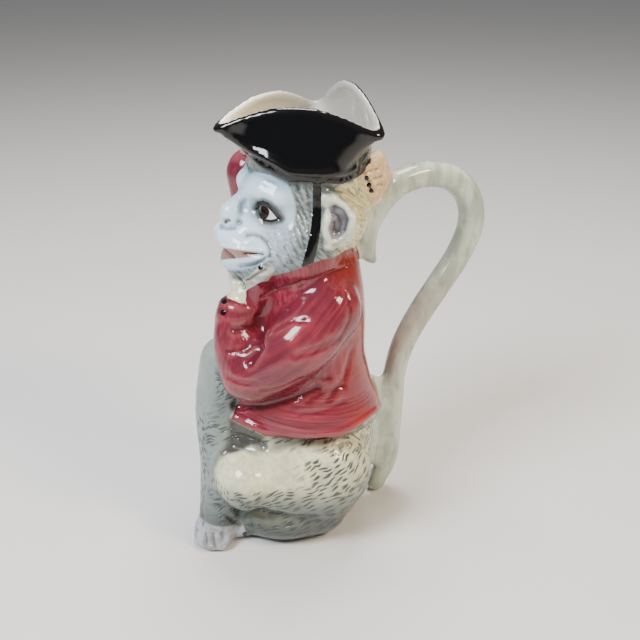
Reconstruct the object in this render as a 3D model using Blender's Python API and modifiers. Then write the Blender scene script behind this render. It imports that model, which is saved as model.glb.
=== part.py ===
"""A hollow glazed ceramic pitcher: a seated monkey in a short jacket, its tricorn hat the mouth.

The figure is laid out in millimetres at its nominal height and scaled to HEIGHT at the end.
The monkey faces -Y, its left hand side is +X, and it stands on the plane Z = 0.
"""
import math

import bmesh
import bpy
import numpy as np
from mathutils import Matrix, Vector
from mathutils.bvhtree import BVHTree

# Driving dimensions in metres
HEIGHT = 0.262
WALL = 0.0045
LIP = 0.0040
TAIL_THICKNESS = 0.0158
TAIL_REACH = 0.1110

# One unit of the figure's own layout, which is a millimetre at the nominal height
NOMINAL_HEIGHT = 262.0
UNIT = HEIGHT / NOMINAL_HEIGHT
wall = WALL / UNIT
lip = LIP / UNIT
tail_radius = TAIL_THICKNESS / UNIT / 2
tail_reach = TAIL_REACH / UNIT

COARSE = 2.0
FINE = 1.7
SKIN_TRIANGLES = 8300
CAVITY_TRIANGLES = 1400
DETAIL_SHARE = 0.02

# Masses of the body: centre, radii
BALLS = {
    "skull": ((0, 9, 194), (33, 31, 29)),
    "forehead": ((0, -3, 210), (28.5, 24.5, 20)),
    "neck": ((0, 3, 166), (30, 30, 18)),
    "belly": ((2, -14, 74), (30, 34, 22)),
    "lap": ((3, -30, 34), (15, 20, 34)),
    "haunch": ((0, 3, 36), (42, 40, 42)),
    "rump": ((0, 9, 56), (39, 36, 24)),
    "seat": ((0, 2, 14), (32, 36, 24)),
    "left knee": ((23, -43, 48), (19.5, 17, 17.5)),
}
FACE_BALLS = {
    "middle of the face": ((0, -10, 200), (26, 18.5, 17)),
    "muzzle": ((0, -24, 187), (20, 19, 13)),
    "jaw": ((0, -18, 168), (23, 21, 13)),
    "left cheek": ((20, -4, 180), (15, 19, 24)),
    "right cheek": ((-20, -4, 180), (15, 19, 24)),
    "left ear": ((33.5, 9, 196), (4.5, 8.5, 12)),
    "right ear": ((-33.5, 9, 196), (4.5, 8.5, 12)),
    "left palm": ((9, -28, 157), (11, 8, 9)),
    "right palm": ((-7, 45, 211), (13, 9, 9)),
    "left foot": ((8, -42, 8), (10, 11, 9)),
    "right foot": ((8, -57, 9), (12, 13, 12)),
    "tail web": ((0, 47, 52), (6, 13, 34)),
}

# Limbs: points on the centre line, each with its radius
LIMBS = {
    "left upper arm": [((28, 5, 147), 19), ((34, -14, 132), 18), ((23, -36, 113), 15)],
    "left forearm": [((20, -39, 112), 14), ((13, -42, 128), 12.5), ((8, -40, 142), 11)],
    "right upper arm": [((-25, 5, 148), 20), ((-36, -6, 174), 15), ((-41, -13, 206), 12)],
    "right forearm": [((-41, -12, 208), 12), ((-37, 8, 213), 10.5), ((-24, 33, 211), 8.5)],
    "left thigh": [((22, 4, 44), 30), ((24, -16, 46), 24.5), ((23, -42, 48), 16.5)],
    "left shin": [((23, 2, 18), 18), ((21, -20, 16), 16), ((10, -36, 10), 10)],
    "right thigh": [((-24, 10, 42), 26), ((-17, -24, 88), 19), ((-7, -40, 111), 14)],
    "right shin": [((-6, -43, 110), 14), ((-2, -50, 84), 12.5), ((3, -52, 52), 11), ((7, -54, 20), 12)],
}
DIGITS = {
    "brow": [((18, -18, 208), 7), ((9, -23, 211), 8), ((0, -23.5, 211), 7), ((-9, -23, 211), 8),
             ((-18, -18, 208), 7)],
    "nose": [((0, -24, 206), 6), ((0, -32, 203), 5.5), ((0, -37.5, 198.5), 6.6)],
    "nose wings": [((6, -34, 196), 4.4), ((0, -36, 196), 5.5), ((-6, -34, 196), 4.4)],
    "upper lip": [((20, -26, 181), 5.5), ((12, -37, 184), 6), ((0, -40.5, 187), 6.2),
                  ((-12, -37, 184), 6), ((-20, -26, 181), 5.5)],
    "lower lip": [((19, -26, 175), 4), ((12, -35, 172.5), 4), ((0, -39.5, 172), 4.5),
                  ((-12, -35, 172.5), 4), ((-19, -26, 175), 4)],
    "left ear rim": [((31, 3, 208.5), 2.7), ((34.5, 9, 208), 2.7), ((37.5, 13, 203), 2.7),
                     ((38.5, 15, 195.5), 2.7), ((37.5, 13.5, 189), 2.7), ((35, 9.5, 185.5), 2.7),
                     ((32, 4, 186), 2.7)],
    "right ear rim": [((-31, 3, 208.5), 2.7), ((-34.5, 9, 208), 2.7), ((-37.5, 13, 203), 2.7),
                      ((-38.5, 15, 195.5), 2.7), ((-37.5, 13.5, 189), 2.7), ((-35, 9.5, 185.5), 2.7),
                      ((-32, 4, 186), 2.7)],
    "chin": [((0, -31, 166), 8.5), ((0, -31, 160), 8)],
    "thumb": [((3, -33, 153), 4.6), ((1, -36, 159), 4.0), ((0.5, -37.5, 164), 3.4)],
    "index": [((9, -31, 158), 4.6), ((17, -29, 166), 4.2), ((21, -27, 171.5), 3.6)],
    "cuff": [((8, -39, 141), 12.2), ((7.5, -37, 147), 12), ((7, -35.5, 151), 11.4), ((7, -35.5, 153.5), 7)],
}
FINGER_TIPS = [(16, 34.5, 215), (17, 36, 209.5), (16, 38, 204), (14, 40, 199.5)]
FINGER_ROOTS = [(-1, 49, 218), (0, 51, 213), (0, 52, 208), (-1, 51, 203)]
FINGER_RADIUS = 3.8
TOES = [(4, -65, 4.5), (10, -66.5, 4.5), (15.5, -63, 4.5), (18, -57, 4.5)]
TOE_RADIUS = 5.2
TOE_ROOT = (9, -56, 9)

# The jacket's trunk: height, middle in Y, half width, half depth
TRUNK = [
    (76, 4, 46.5, 45),
    (85, 4, 45, 43),
    (96, 3, 42, 39),
    (115, 2, 39, 35.5),
    (135, 3, 38, 35),
    (150, 4, 36, 33),
    (163, 5, 32, 30),
    (173, 6, 27, 26),
]
HEM_SLOPE = -0.10

# The photograph's viewpoint, in the figure's units and the photograph's pixels
EYE_POINT = (456.5, -189.6, 359.8)
LOOK_POINT = (5.3, 11.3, 129.5)
FOCAL_PIXELS = 962
PHOTO_MIDDLE = 320

# Hollows drawn where the photograph shows them: pixels, half width, depth, and on both sides or not.
# A depth below zero raises a ridge.
BRIM_FOLD = [(228, 134), (240, 142), (253, 150), (267, 158), (277, 164), (287, 170), (296, 173),
             (312, 173), (330, 173), (345, 172), (353, 168)]
UNDER_BRIM = [(252, 158), (260, 162), (270, 167), (279, 172.5), (288, 177), (298, 178.5), (323, 179),
              (340, 179), (352, 176)]
EAR_RIM = [(324, 197), (333, 195.5), (343, 198.5), (350.5, 206), (354, 217), (352.5, 229), (346, 237),
           (336, 242)]
HOLLOWS = {
    "mouth": ([(222, 251), (232, 253), (242, 255), (252, 254.5), (262, 254.5)], 2.3, 4.4, True),
    "eye socket": ([(257, 206), (267, 210), (277, 216)], 5.2, 2.6, True),
    "nose side": ([(245, 200), (246, 208), (243, 218)], 3.0, 1.4, True),
    "under the nose": ([(219, 223.5), (228, 227), (237, 225), (243, 219)], 1.7, 1.4, True),
    "smile": ([(247, 235), (254, 234.5), (261, 236.5), (267.5, 241.5), (271, 249.5), (270, 257)],
              1.7, 1.8, True),
    "under the lip": ([(226, 269), (240, 268), (254, 265), (265, 259)], 1.7, 1.4, True),
    "brim fold": (BRIM_FOLD, 2.6, -2.4, True),
    "under the brim": (UNDER_BRIM, 1.8, 2.2, True),
    "ear bowl": ([(333, 212), (341, 220), (336, 232)], 4.4, 4.0, True),
    "ear rim": (EAR_RIM, 2.0, -1.4, True),
    "ear front": ([(323, 200), (322, 220), (325, 244)], 2.5, 1.4, True),
    "strap": ([(317, 183), (317, 210), (316, 225), (314, 240), (311, 252), (308, 262)], 2.1, -1.0, True),
    "fur lock 1": ([(296, 199), (301, 209), (305, 220)], 1.7, 1.2, True),
    "fur lock 2": ([(294, 228), (298, 238), (303, 247)], 1.7, 1.2, True),
    "knee fold": ([(238, 503), (256, 509), (271, 511), (286, 514), (299, 518)], 2.6, 3.0, False),
    "under the arm": ([(236, 406), (261, 406), (290, 399), (322, 386)], 2.4, 3.0, False),
    "arm fold": ([(257, 318), (263, 332), (260, 348), (250, 362)], 2.6, 2.4, False),
    "cuff end": ([(214, 326), (235, 330), (256, 327)], 1.8, 1.6, False),
    "sleeve fold": ([(296, 356), (318, 350), (338, 340)], 2.4, 1.0, False),
    "back fold": ([(330, 398), (345, 378), (352, 352)], 2.4, 1.2, False),
    "under the belly": ([(240, 437), (252, 441), (263, 446)], 2.0, 2.4, False),
    "index finger": ([(246, 280), (254, 273.5), (262, 267)], 2.2, -1.8, False),
}

# The tail's loop in the plane X = 0: reach in Y as a share of its greatest, height, share of radius
TAIL = [
    (0.470, 5, 0.80),
    (0.545, 22, 0.86),
    (0.560, 44, 0.86),
    (0.568, 64, 0.88),
    (0.572, 82, 0.92),
    (0.618, 101, 0.96),
    (0.712, 119, 1.00),
    (0.826, 136, 1.02),
    (0.935, 153, 1.02),
    (1.000, 171, 1.02),
    (0.975, 188, 1.02),
    (0.870, 200.5, 1.00),
    (0.722, 205, 1.00),
    (0.580, 203, 1.00),
    (0.470, 196, 1.08),
    (0.396, 184, 1.00),
    (0.375, 172, 0.86),
    (0.396, 162, 0.62),
    (0.425, 158, 0.42),
]

# The hat: three corners joined by turned-up panels
CORNERS = [(0, -49, 243.5), (43, 32.5, 240.5), (-43, 32.5, 240.5)]
PANEL_RISE = [14, 21.5, 14]
PANEL_STEPS = 16
HAT_MIDDLE = (0, 7)


def new_object(name, mesh, collection):
    """Make an object of a mesh and link it."""
    obj = bpy.data.objects.new(name, mesh)
    collection.objects.link(obj)
    return obj


def collection_named(name):
    """Make a collection in the scene."""
    made = bpy.data.collections.new(name)
    bpy.context.scene.collection.children.link(made)
    return made


def smooth_path(points, steps):
    """Points of a Catmull-Rom curve through rows of place and radius."""
    rows = np.array([list(place) + [radius] for place, radius in points], float)
    ends = np.vstack([2 * rows[0] - rows[1], rows, 2 * rows[-1] - rows[-2]])
    out = []
    for i in range(len(rows) - 1):
        a, b, c, d = ends[i:i + 4]
        for t in np.linspace(0, 1, steps, endpoint=False):
            curve = 2 * b + (c - a) * t + (2 * a - 5 * b + 4 * c - d) * t ** 2
            out.append((curve + (3 * b - a - 3 * c + d) * t ** 3) / 2)
    out.append(rows[-1])
    return np.array(out)


def add_ball(bm, centre, radii):
    """Add an ellipsoid."""
    place = Matrix.Translation(Vector(centre)) @ Matrix.Diagonal((*radii, 1))
    bmesh.ops.create_uvsphere(bm, u_segments=32, v_segments=20, radius=1, matrix=place)


def add_limb(bm, points, inset=0.0, steps=6):
    """Add a round limb with a ball at each end, its radius less the inset."""
    rows = smooth_path(points, steps)
    curve = bpy.data.curves.new("limb", "CURVE")
    curve.dimensions = "3D"
    curve.bevel_depth = 1.0
    curve.bevel_resolution = 6
    curve.use_fill_caps = True
    spline = curve.splines.new("POLY")
    spline.points.add(len(rows) - 1)
    for point, (x, y, z, radius) in zip(spline.points, rows):
        point.co = (x, y, z, 1)
        point.radius = radius - inset
    carrier = bpy.data.objects.new("limb", curve)
    bpy.context.scene.collection.objects.link(carrier)
    bpy.context.view_layer.update()
    drawn = carrier.evaluated_get(bpy.context.evaluated_depsgraph_get())
    mesh = bpy.data.meshes.new_from_object(drawn)
    bm.from_mesh(mesh)
    bpy.data.objects.remove(carrier)
    bpy.data.meshes.remove(mesh)
    for x, y, z, radius in (rows[0], rows[-1]):
        add_ball(bm, (x, y, z), [(radius - inset) * 1.01] * 3)


def add_loft(bm, rings):
    """Skin a stack of equal rings and close both ends with a fan."""
    rows = [[bm.verts.new(p) for p in ring] for ring in rings]
    count = len(rings[0])
    for low, high in zip(rows, rows[1:]):
        for i in range(count):
            j = (i + 1) % count
            bm.faces.new((low[i], low[j], high[j], high[i]))
    for row, turned in ((rows[0], True), (rows[-1], False)):
        hub = bm.verts.new(np.mean([v.co for v in row], axis=0))
        for i in range(count):
            pair = (row[i], row[(i + 1) % count])
            bm.faces.new((hub, *reversed(pair)) if turned else (hub, *pair))


def add_trunk(bm, inset=0.0):
    """Add the jacket's trunk, its hem sloping down to the back."""
    rings = []
    top = TRUNK[-1][0]
    bottom = TRUNK[0][0]
    for height, middle, half_width, half_depth in TRUNK:
        slope = HEM_SLOPE * (top - height) / (top - bottom)
        ring = []
        for turn in np.linspace(0, 2 * math.pi, 48, endpoint=False):
            x = (half_width - inset) * math.cos(turn)
            y = middle + (half_depth - inset) * math.sin(turn)
            lift = inset if height == bottom else 0
            ring.append((x, y, height + lift + slope * y))
        rings.append(ring)
    add_loft(bm, rings)


def rim_points():
    """The hat's rim: straight panels between the corners, raised in the middle, corners eased."""
    rim = []
    for i, rise in enumerate(PANEL_RISE):
        start = np.array(CORNERS[i], float)
        end = np.array(CORNERS[(i + 1) % 3], float)
        for t in np.linspace(0, 1, PANEL_STEPS, endpoint=False):
            point = start + (end - start) * t
            point[2] += rise * math.sin(math.pi * t)
            rim.append(point)
    rim = np.array(rim)
    for _ in range(2):
        rim = (np.roll(rim, 1, 0) + 2 * rim + np.roll(rim, -1, 0)) / 4
    return rim


def hat_rings(inset=0.0, edge=0.0):
    """Rings of the hat from the crown's foot to the rim, moved in by the inset."""
    rim = rim_points()
    middle = np.array(HAT_MIDDLE, float)
    out = rim[:, :2] - middle
    reach = np.linalg.norm(out, axis=1, keepdims=True)
    ray = out / reach
    corner = np.clip((reach - 25) / 20, 0, 1)

    def oval(half_width, front, back, height):
        depth = np.where(ray[:, 1:] < 0, front, back)
        size = 1 / np.sqrt((ray[:, :1] / half_width) ** 2 + (ray[:, 1:] / depth) ** 2)
        return np.hstack([middle + ray * (size - inset), height])

    foot = oval(28, 30, 27, np.full_like(reach, 208.0 + inset))
    band = oval(31, 33.5, 30, 218 + 9 * corner + inset)
    fold = oval(35.5, 37.5, 33, 222.5 + 10 * corner + inset)
    top = rim.copy()
    top[:, :2] = middle + ray * (reach - edge)
    waist = 0.55 * fold + 0.45 * top
    waist[:, :2] += ray * (1.5 + 1.0 * corner)
    return [foot, band, fold, waist, top]


def seen_point(tree, pixel):
    """The point of the surface that shows at a pixel of the photograph."""
    eye = Vector(EYE_POINT)
    ahead = (Vector(LOOK_POINT) - eye).normalized()
    right = ahead.cross(Vector((0, 0, 1))).normalized()
    up = right.cross(ahead)
    across = (pixel[0] - PHOTO_MIDDLE) / FOCAL_PIXELS
    down = (pixel[1] - PHOTO_MIDDLE) / FOCAL_PIXELS
    hit = tree.ray_cast(eye, (ahead + right * across - up * down).normalized())
    return hit[0]


def distance_to_line(points, line):
    """The distance of each point to a line of joined segments."""
    nearest = np.full(len(points), np.inf)
    for start, end in zip(line, line[1:]):
        along = end - start
        share = np.clip((points - start) @ along / (along @ along), 0, 1)
        gap = np.linalg.norm(points - start - share[:, None] * along, axis=1)
        nearest = np.minimum(nearest, gap)
    return nearest


def carve(obj):
    """Sink the hollows into the skin and raise the ridges, along its own normals."""
    mesh = obj.data
    tree = BVHTree.FromPolygons([v.co for v in mesh.vertices], [p.vertices for p in mesh.polygons])
    places = np.array([v.co for v in mesh.vertices])
    normals = np.array([v.normal for v in mesh.vertices])
    sink = np.zeros(len(places))
    rise = np.zeros(len(places))
    for pixels, half_width, depth, both in HOLLOWS.values():
        found = [seen_point(tree, pixel) for pixel in pixels]
        line = [np.array(p) for p in found if p is not None]
        lines = [line]
        if both:
            twins = [tree.find_nearest(Vector((-x, y, z)))[0] for x, y, z in line]
            lines.append([np.array(p) for p in twins])
        for path in lines:
            moved = depth * np.exp(-(distance_to_line(places, path) / half_width) ** 2)
            sink = np.maximum(sink, moved)
            rise = np.minimum(rise, moved)
    places -= normals * (sink + rise)[:, None]
    mesh.vertices.foreach_set("co", places.ravel())
    mesh.update()


def mark_plain(obj):
    """Weigh how freely each place may be thinned out: the head, hands and feet less."""
    places = np.array([v.co for v in obj.data.vertices])
    y = places[:, 1]
    z = places[:, 2]
    fine = np.clip((z - 160) / 8, 0, 1) * np.clip((216 - z) / 6, 0, 1) * np.clip((64 - y) / 6, 0, 1)
    fine = np.maximum(fine, np.clip((-30 - y) / 6, 0, 1) * np.clip((z - 140) / 8, 0, 1))
    fine = np.maximum(fine, np.clip((-44 - y) / 6, 0, 1) * np.clip((20 - z) / 6, 0, 1))
    group = obj.vertex_groups.new(name="plain")
    for i, weight in enumerate(1 - DETAIL_SHARE * fine):
        group.add([i], float(weight), "REPLACE")


def mark_soft(obj):
    """Weigh how far each place may be blended: the body fully, the face, hands and feet little."""
    places = np.array([v.co for v in obj.data.vertices])
    y = places[:, 1]
    z = places[:, 2]
    soft = np.clip((168 - z) / 14, 0, 1)
    soft *= 1 - np.clip((z - 136) / 8, 0, 1) * np.clip((-22 - y) / 6, 0, 1)
    soft *= 1 - np.clip((24 - z) / 8, 0, 1) * np.clip((-38 - y) / 6, 0, 1)
    soft = 0.12 + 0.88 * soft
    group = obj.vertex_groups.new(name="soft")
    for i, weight in enumerate(soft):
        group.add([i], float(weight), "REPLACE")


def skin_mesh():
    """The outside of the figure as overlapping masses."""
    bm = bmesh.new()
    for centre, radii in list(BALLS.values()) + list(FACE_BALLS.values()):
        add_ball(bm, centre, radii)
    for points in list(LIMBS.values()) + list(DIGITS.values()):
        add_limb(bm, points)
    for tip, root in zip(FINGER_TIPS, FINGER_ROOTS):
        add_limb(bm, [(root, FINGER_RADIUS * 1.15), (tip, FINGER_RADIUS)])
    for toe in TOES:
        add_limb(bm, [(TOE_ROOT, TOE_RADIUS), (toe, TOE_RADIUS)])
    add_trunk(bm)
    tail = [((0, share * tail_reach, z), tail_radius * size) for share, z, size in TAIL]
    add_limb(bm, tail)
    add_loft(bm, [[tuple(p) for p in ring] for ring in hat_rings()])
    bmesh.ops.recalc_face_normals(bm, faces=bm.faces)
    mesh = bpy.data.meshes.new("skin")
    bm.to_mesh(mesh)
    bm.free()
    return mesh


def cavity_mesh():
    """The hollow, a wall's thickness inside the larger masses, and open through the hat."""
    bm = bmesh.new()
    for centre, radii in BALLS.values():
        add_ball(bm, centre, [r - wall for r in radii])
    for name in ("left upper arm", "left thigh", "left shin", "right thigh", "right upper arm"):
        add_limb(bm, LIMBS[name], wall)
    add_trunk(bm, wall)
    rings = hat_rings(wall, lip)
    above = rings[-1].copy()
    above[:, 2] += 20
    add_loft(bm, [[tuple(p) for p in ring] for ring in rings + [above]])
    bmesh.ops.recalc_face_normals(bm, faces=bm.faces)
    mesh = bpy.data.meshes.new("cavity")
    bm.to_mesh(mesh)
    bm.free()
    return mesh


def apply_modifiers(obj):
    """Replace an object's mesh with its evaluated one."""
    bpy.context.view_layer.update()
    drawn = obj.evaluated_get(bpy.context.evaluated_depsgraph_get())
    mesh = bpy.data.meshes.new_from_object(drawn)
    old = obj.data
    obj.modifiers.clear()
    obj.data = mesh
    bpy.data.meshes.remove(old)


def remesh(obj, voxel):
    """Fuse the masses into one even skin."""
    fuse = obj.modifiers.new("Fuse", "REMESH")
    fuse.mode = "VOXEL"
    fuse.voxel_size = voxel
    apply_modifiers(obj)


def soften(obj, rounds, group=""):
    """Blend the joints between masses."""
    blend = obj.modifiers.new("Blend", "SMOOTH")
    blend.factor = 0.5
    blend.iterations = rounds
    blend.vertex_group = group
    apply_modifiers(obj)


def thin_out(obj, wanted, group=""):
    """Collapse an even skin to about the wanted number of triangles."""
    obj.data.calc_loop_triangles()
    have = len(obj.data.loop_triangles)
    fewer = obj.modifiers.new("Fewer", "DECIMATE")
    fewer.ratio = min(1.0, wanted / have)
    fewer.use_collapse_triangulate = True
    if group:
        fewer.vertex_group = group
        fewer.vertex_group_factor = 1.0
    apply_modifiers(obj)


def cut(obj, cutter):
    """Take the cutter out of the object."""
    step = obj.modifiers.new("Cut", "BOOLEAN")
    step.operation = "DIFFERENCE"
    step.solver = "EXACT"
    step.object = cutter
    apply_modifiers(obj)
    cutter.hide_render = True
    cutter.display_type = "WIRE"


def block(name, collection, centre, size):
    """A box by its centre and size."""
    bm = bmesh.new()
    place = Matrix.Translation(Vector(centre)) @ Matrix.Diagonal((*size, 1))
    bmesh.ops.create_cube(bm, size=1, matrix=place)
    mesh = bpy.data.meshes.new(name)
    bm.to_mesh(mesh)
    bm.free()
    return new_object(name, mesh, collection)


for existing in list(bpy.data.objects):
    bpy.data.objects.remove(existing)

figure = collection_named("monkey_pitcher")
cutters = collection_named("cutters")

pitcher = new_object("monkey_pitcher", skin_mesh(), figure)
remesh(pitcher, COARSE)
mark_soft(pitcher)
soften(pitcher, 14, "soft")
remesh(pitcher, FINE)
carve(pitcher)
soften(pitcher, 1)
mark_plain(pitcher)
thin_out(pitcher, SKIN_TRIANGLES, "plain")

hollow = new_object("hollow", cavity_mesh(), cutters)
remesh(hollow, COARSE * 1.5)
soften(hollow, 4)
thin_out(hollow, CAVITY_TRIANGLES)
floor = block("floor", cutters, (0, 0, wall - 30), (400, 400, 60))
cut(hollow, floor)
cut(pitcher, hollow)
ground = block("ground", cutters, (0, 0, -30), (400, 400, 60))
cut(pitcher, ground)

for obj in (pitcher, hollow, floor, ground):
    obj.data.transform(Matrix.Scale(UNIT, 4))

glaze = bpy.data.materials.new("painted glaze")
glaze.use_nodes = True
shader = glaze.node_tree.nodes["Principled BSDF"]
shader.inputs["Base Color"].default_value = (0.42, 0.38, 0.33, 1)
shader.inputs["Roughness"].default_value = 0.12
shader.inputs["IOR"].default_value = 1.5
pitcher.data.materials.clear()
pitcher.data.materials.append(glaze)
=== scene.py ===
# %% [markdown]
# # A monkey pitcher in painted glaze
#
# The real object is one slip-cast piece of earthenware. Liquid clay is poured into a plaster
# mould, a skin of clay sets against the plaster, and the rest is poured out, so the inside
# follows the outside. The handle and the hat are joined on while the clay is damp. The piece is
# fired, painted with coloured glazes and fired again.
#
# In this lesson the same thing is built the way a modeller builds clay: rough masses first,
# fused into one skin, then hollows pressed in, then fine tooling, then paint.

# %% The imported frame
import math

import bpy
import numpy as np
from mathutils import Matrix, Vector
from mathutils.bvhtree import BVHTree


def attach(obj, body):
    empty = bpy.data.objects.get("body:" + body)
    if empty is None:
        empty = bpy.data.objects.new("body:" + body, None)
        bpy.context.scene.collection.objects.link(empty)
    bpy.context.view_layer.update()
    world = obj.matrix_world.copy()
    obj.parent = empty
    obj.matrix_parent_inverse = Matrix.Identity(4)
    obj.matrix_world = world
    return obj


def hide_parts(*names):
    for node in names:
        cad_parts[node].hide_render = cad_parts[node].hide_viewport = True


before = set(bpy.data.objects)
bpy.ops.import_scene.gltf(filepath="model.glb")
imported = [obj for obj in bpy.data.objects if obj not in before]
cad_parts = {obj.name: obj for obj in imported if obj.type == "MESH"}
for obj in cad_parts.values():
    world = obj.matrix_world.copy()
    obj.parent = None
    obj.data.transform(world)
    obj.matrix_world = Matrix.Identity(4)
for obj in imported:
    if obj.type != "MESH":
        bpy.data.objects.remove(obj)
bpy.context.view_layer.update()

NODE = "monkey_pitcher"
MM = 0.001

# %% [markdown]
# ## Seeing it as the photograph does
#
# A product photograph taken by hand looks down a little, from about half a metre. The camera is
# placed first, because every hollow that is drawn later is drawn through it: a point of the
# picture becomes a ray, and the ray finds the clay. The lens is given in pixels, as a camera
# fitted to a picture comes out, and Blender wants it in millimetres of a 36 mm sensor.

# %% The camera
EYE_POINT = Vector((456.5, -189.6, 359.8))
LOOK_POINT = Vector((5.3, 11.3, 129.5))
FOCAL_PIXELS = 962
FRAME_PIXELS = 640
SENSOR_WIDTH = 36
PIXELS_PER_MM = 1.85
AHEAD = (LOOK_POINT - EYE_POINT).normalized()
RIGHT = AHEAD.cross(Vector((0, 0, 1))).normalized()
UP = RIGHT.cross(AHEAD)

bpy.ops.object.camera_add(location=EYE_POINT * MM)
camera = bpy.context.object
camera.name = "photo camera"
camera.rotation_euler = AHEAD.to_track_quat("-Z", "Y").to_euler()
camera.data.sensor_width = SENSOR_WIDTH
camera.data.lens = FOCAL_PIXELS / FRAME_PIXELS * SENSOR_WIDTH
camera.data.clip_start = 0.01
bpy.context.scene.camera = camera
print("lens of", round(camera.data.lens, 1), "mm")

# %% [markdown]
# ## A table to stand on and soft light
#
# Glaze is a mirror with colour under it, so what matters most is what it reflects. One broad
# lamp in front and above gives the long highlights, a warm one from behind draws the edge of the
# handle, one overhead lights the inside of the hat, and a pale world fills the rest. The floor is
# plain and pale.

# %% Helpers for selection, colour and fading
def deselect():
    """Leave nothing selected, because an operator acts on all that is."""
    for chosen in list(bpy.context.selected_objects):
        chosen.select_set(False)


def pick(obj):
    """Select one object alone and make it the active one."""
    deselect()
    obj.select_set(True)
    bpy.context.view_layer.objects.active = obj


def linear(code, alpha=1.0):
    """Turn an sRGB hex colour into the linear one that a shader takes."""
    out = []
    for i in (0, 2, 4):
        part = int(code[i:i + 2], 16) / 255
        out.append(part / 12.92 if part <= 0.04045 else ((part + 0.055) / 1.055) ** 2.4)
    return (*out, alpha)


def ramp(values, start, end):
    """0 up to the start, 1 from the end on, and even between."""
    return np.clip((values - start) / (end - start), 0, 1)


# %% Floor, world and lamps
FLOOR_SIZE = 6.0
ROOM_LIGHT = 0.28
deselect()
bpy.ops.mesh.primitive_plane_add(size=FLOOR_SIZE)
floor = bpy.context.object
floor.name = "floor"
floor_paint = bpy.data.materials.new("matt floor")
floor_paint.use_nodes = True
floor_shader = floor_paint.node_tree.nodes["Principled BSDF"]
floor_shader.inputs["Base Color"].default_value = linear("D9D7D3")
floor_shader.inputs["Roughness"].default_value = 0.7
floor.data.materials.append(floor_paint)

world = bpy.data.worlds.new("soft room")
world.use_nodes = True
world.node_tree.nodes["Background"].inputs["Color"].default_value = linear("E6E9EE")
world.node_tree.nodes["Background"].inputs["Strength"].default_value = ROOM_LIGHT
bpy.context.scene.world = world

# Each lamp: place in metres, size, watts, colour
LAMPS = {
    "broad lamp": ((0.25, -0.75, 0.95), 0.42, 21, "F4F7FF"),
    "warm lamp": ((0.75, 0.50, 0.90), 0.30, 13, "FFE9CC"),
    "ceiling lamp": ((-0.25, 0.15, 1.10), 0.40, 11, "FFFFFF"),
}
for name, (place, size, watts, tint) in LAMPS.items():
    bpy.ops.object.light_add(type="AREA", location=place)
    lamp = bpy.context.object
    lamp.name = name
    lamp.data.size = size
    lamp.data.energy = watts
    lamp.data.color = linear(tint)[:3]
    lamp.rotation_euler = (LOOK_POINT * MM - Vector(place)).to_track_quat("-Z", "Y").to_euler()
print("lamps:", ", ".join(LAMPS))

# %% [markdown]
# ## Rough masses
#
# A seated monkey is a stack of eggs: haunch, chest, skull. Arms and legs are tapering rolls.
# Each egg is a UV sphere added at its own size and place. A roll is a path with a radius at every
# point and a round bevel, because a path can bend in space, which a cone can't. All places are
# in millimetres from the middle of the underside: X to the monkey's left, Y to its back, Z up.

# %% Eggs: centre and radii. The first group is made hollow, the second stays solid
BODY_EGGS = {
    "skull": ((0, 9, 194), (33, 31, 29)),
    "forehead": ((0, -3, 210), (28.5, 24.5, 20)),
    "neck": ((0, 3, 166), (30, 30, 18)),
    "belly": ((2, -14, 74), (30, 34, 22)),
    "lap": ((3, -30, 34), (15, 20, 34)),
    "haunch": ((0, 3, 36), (42, 40, 42)),
    "rump": ((0, 9, 56), (39, 36, 24)),
    "seat": ((0, 2, 14), (32, 36, 24)),
    "left knee": ((23, -43, 48), (19.5, 17, 17.5)),
}
SMALL_EGGS = {
    "middle of the face": ((0, -10, 200), (26, 18.5, 17)),
    "muzzle": ((0, -24, 187), (20, 19, 13)),
    "jaw": ((0, -18, 168), (23, 21, 13)),
    "left cheek": ((20, -4, 180), (15, 19, 24)),
    "right cheek": ((-20, -4, 180), (15, 19, 24)),
    "left ear": ((33.5, 9, 196), (4.5, 8.5, 12)),
    "right ear": ((-33.5, 9, 196), (4.5, 8.5, 12)),
    "left palm": ((9, -28, 157), (11, 8, 9)),
    "right palm": ((-7, 45, 211), (13, 9, 9)),
    "left foot": ((8, -42, 8), (10, 11, 9)),
    "right foot": ((8, -57, 9), (12, 13, 12)),
    "tail web": ((0, 47, 52), (6, 13, 34)),
}

# %% Rolls: places on the middle line, each with its radius
def mirrored(rows):
    """The same roll on the figure's other side."""
    return [((-x, y, z), radius) for (x, y, z), radius in rows]


def arch(rows):
    """A roll across the face from its left half, which ends in the middle."""
    return rows + mirrored(rows[-2::-1])


LIMBS = {
    "left upper arm": [((28, 5, 147), 19), ((34, -14, 132), 18), ((23, -36, 113), 15)],
    "left forearm": [((20, -39, 112), 14), ((13, -42, 128), 12.5), ((8, -40, 142), 11)],
    "right upper arm": [((-25, 5, 148), 20), ((-36, -6, 174), 15), ((-41, -13, 206), 12)],
    "right forearm": [((-41, -12, 208), 12), ((-37, 8, 213), 10.5), ((-24, 33, 211), 8.5)],
    "left thigh": [((22, 4, 44), 30), ((24, -16, 46), 24.5), ((23, -42, 48), 16.5)],
    "left shin": [((23, 2, 18), 18), ((21, -20, 16), 16), ((10, -36, 10), 10)],
    "right thigh": [((-24, 10, 42), 26), ((-17, -24, 88), 19), ((-7, -40, 111), 14)],
    "right shin": [((-6, -43, 110), 14), ((-2, -50, 84), 12.5), ((3, -52, 52), 11),
                   ((7, -54, 20), 12)],
    "cuff": [((8, -39, 141), 12.2), ((7.5, -37, 147), 12), ((7, -35.5, 151), 11.4),
             ((7, -35.5, 153.5), 7)],
}
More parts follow.
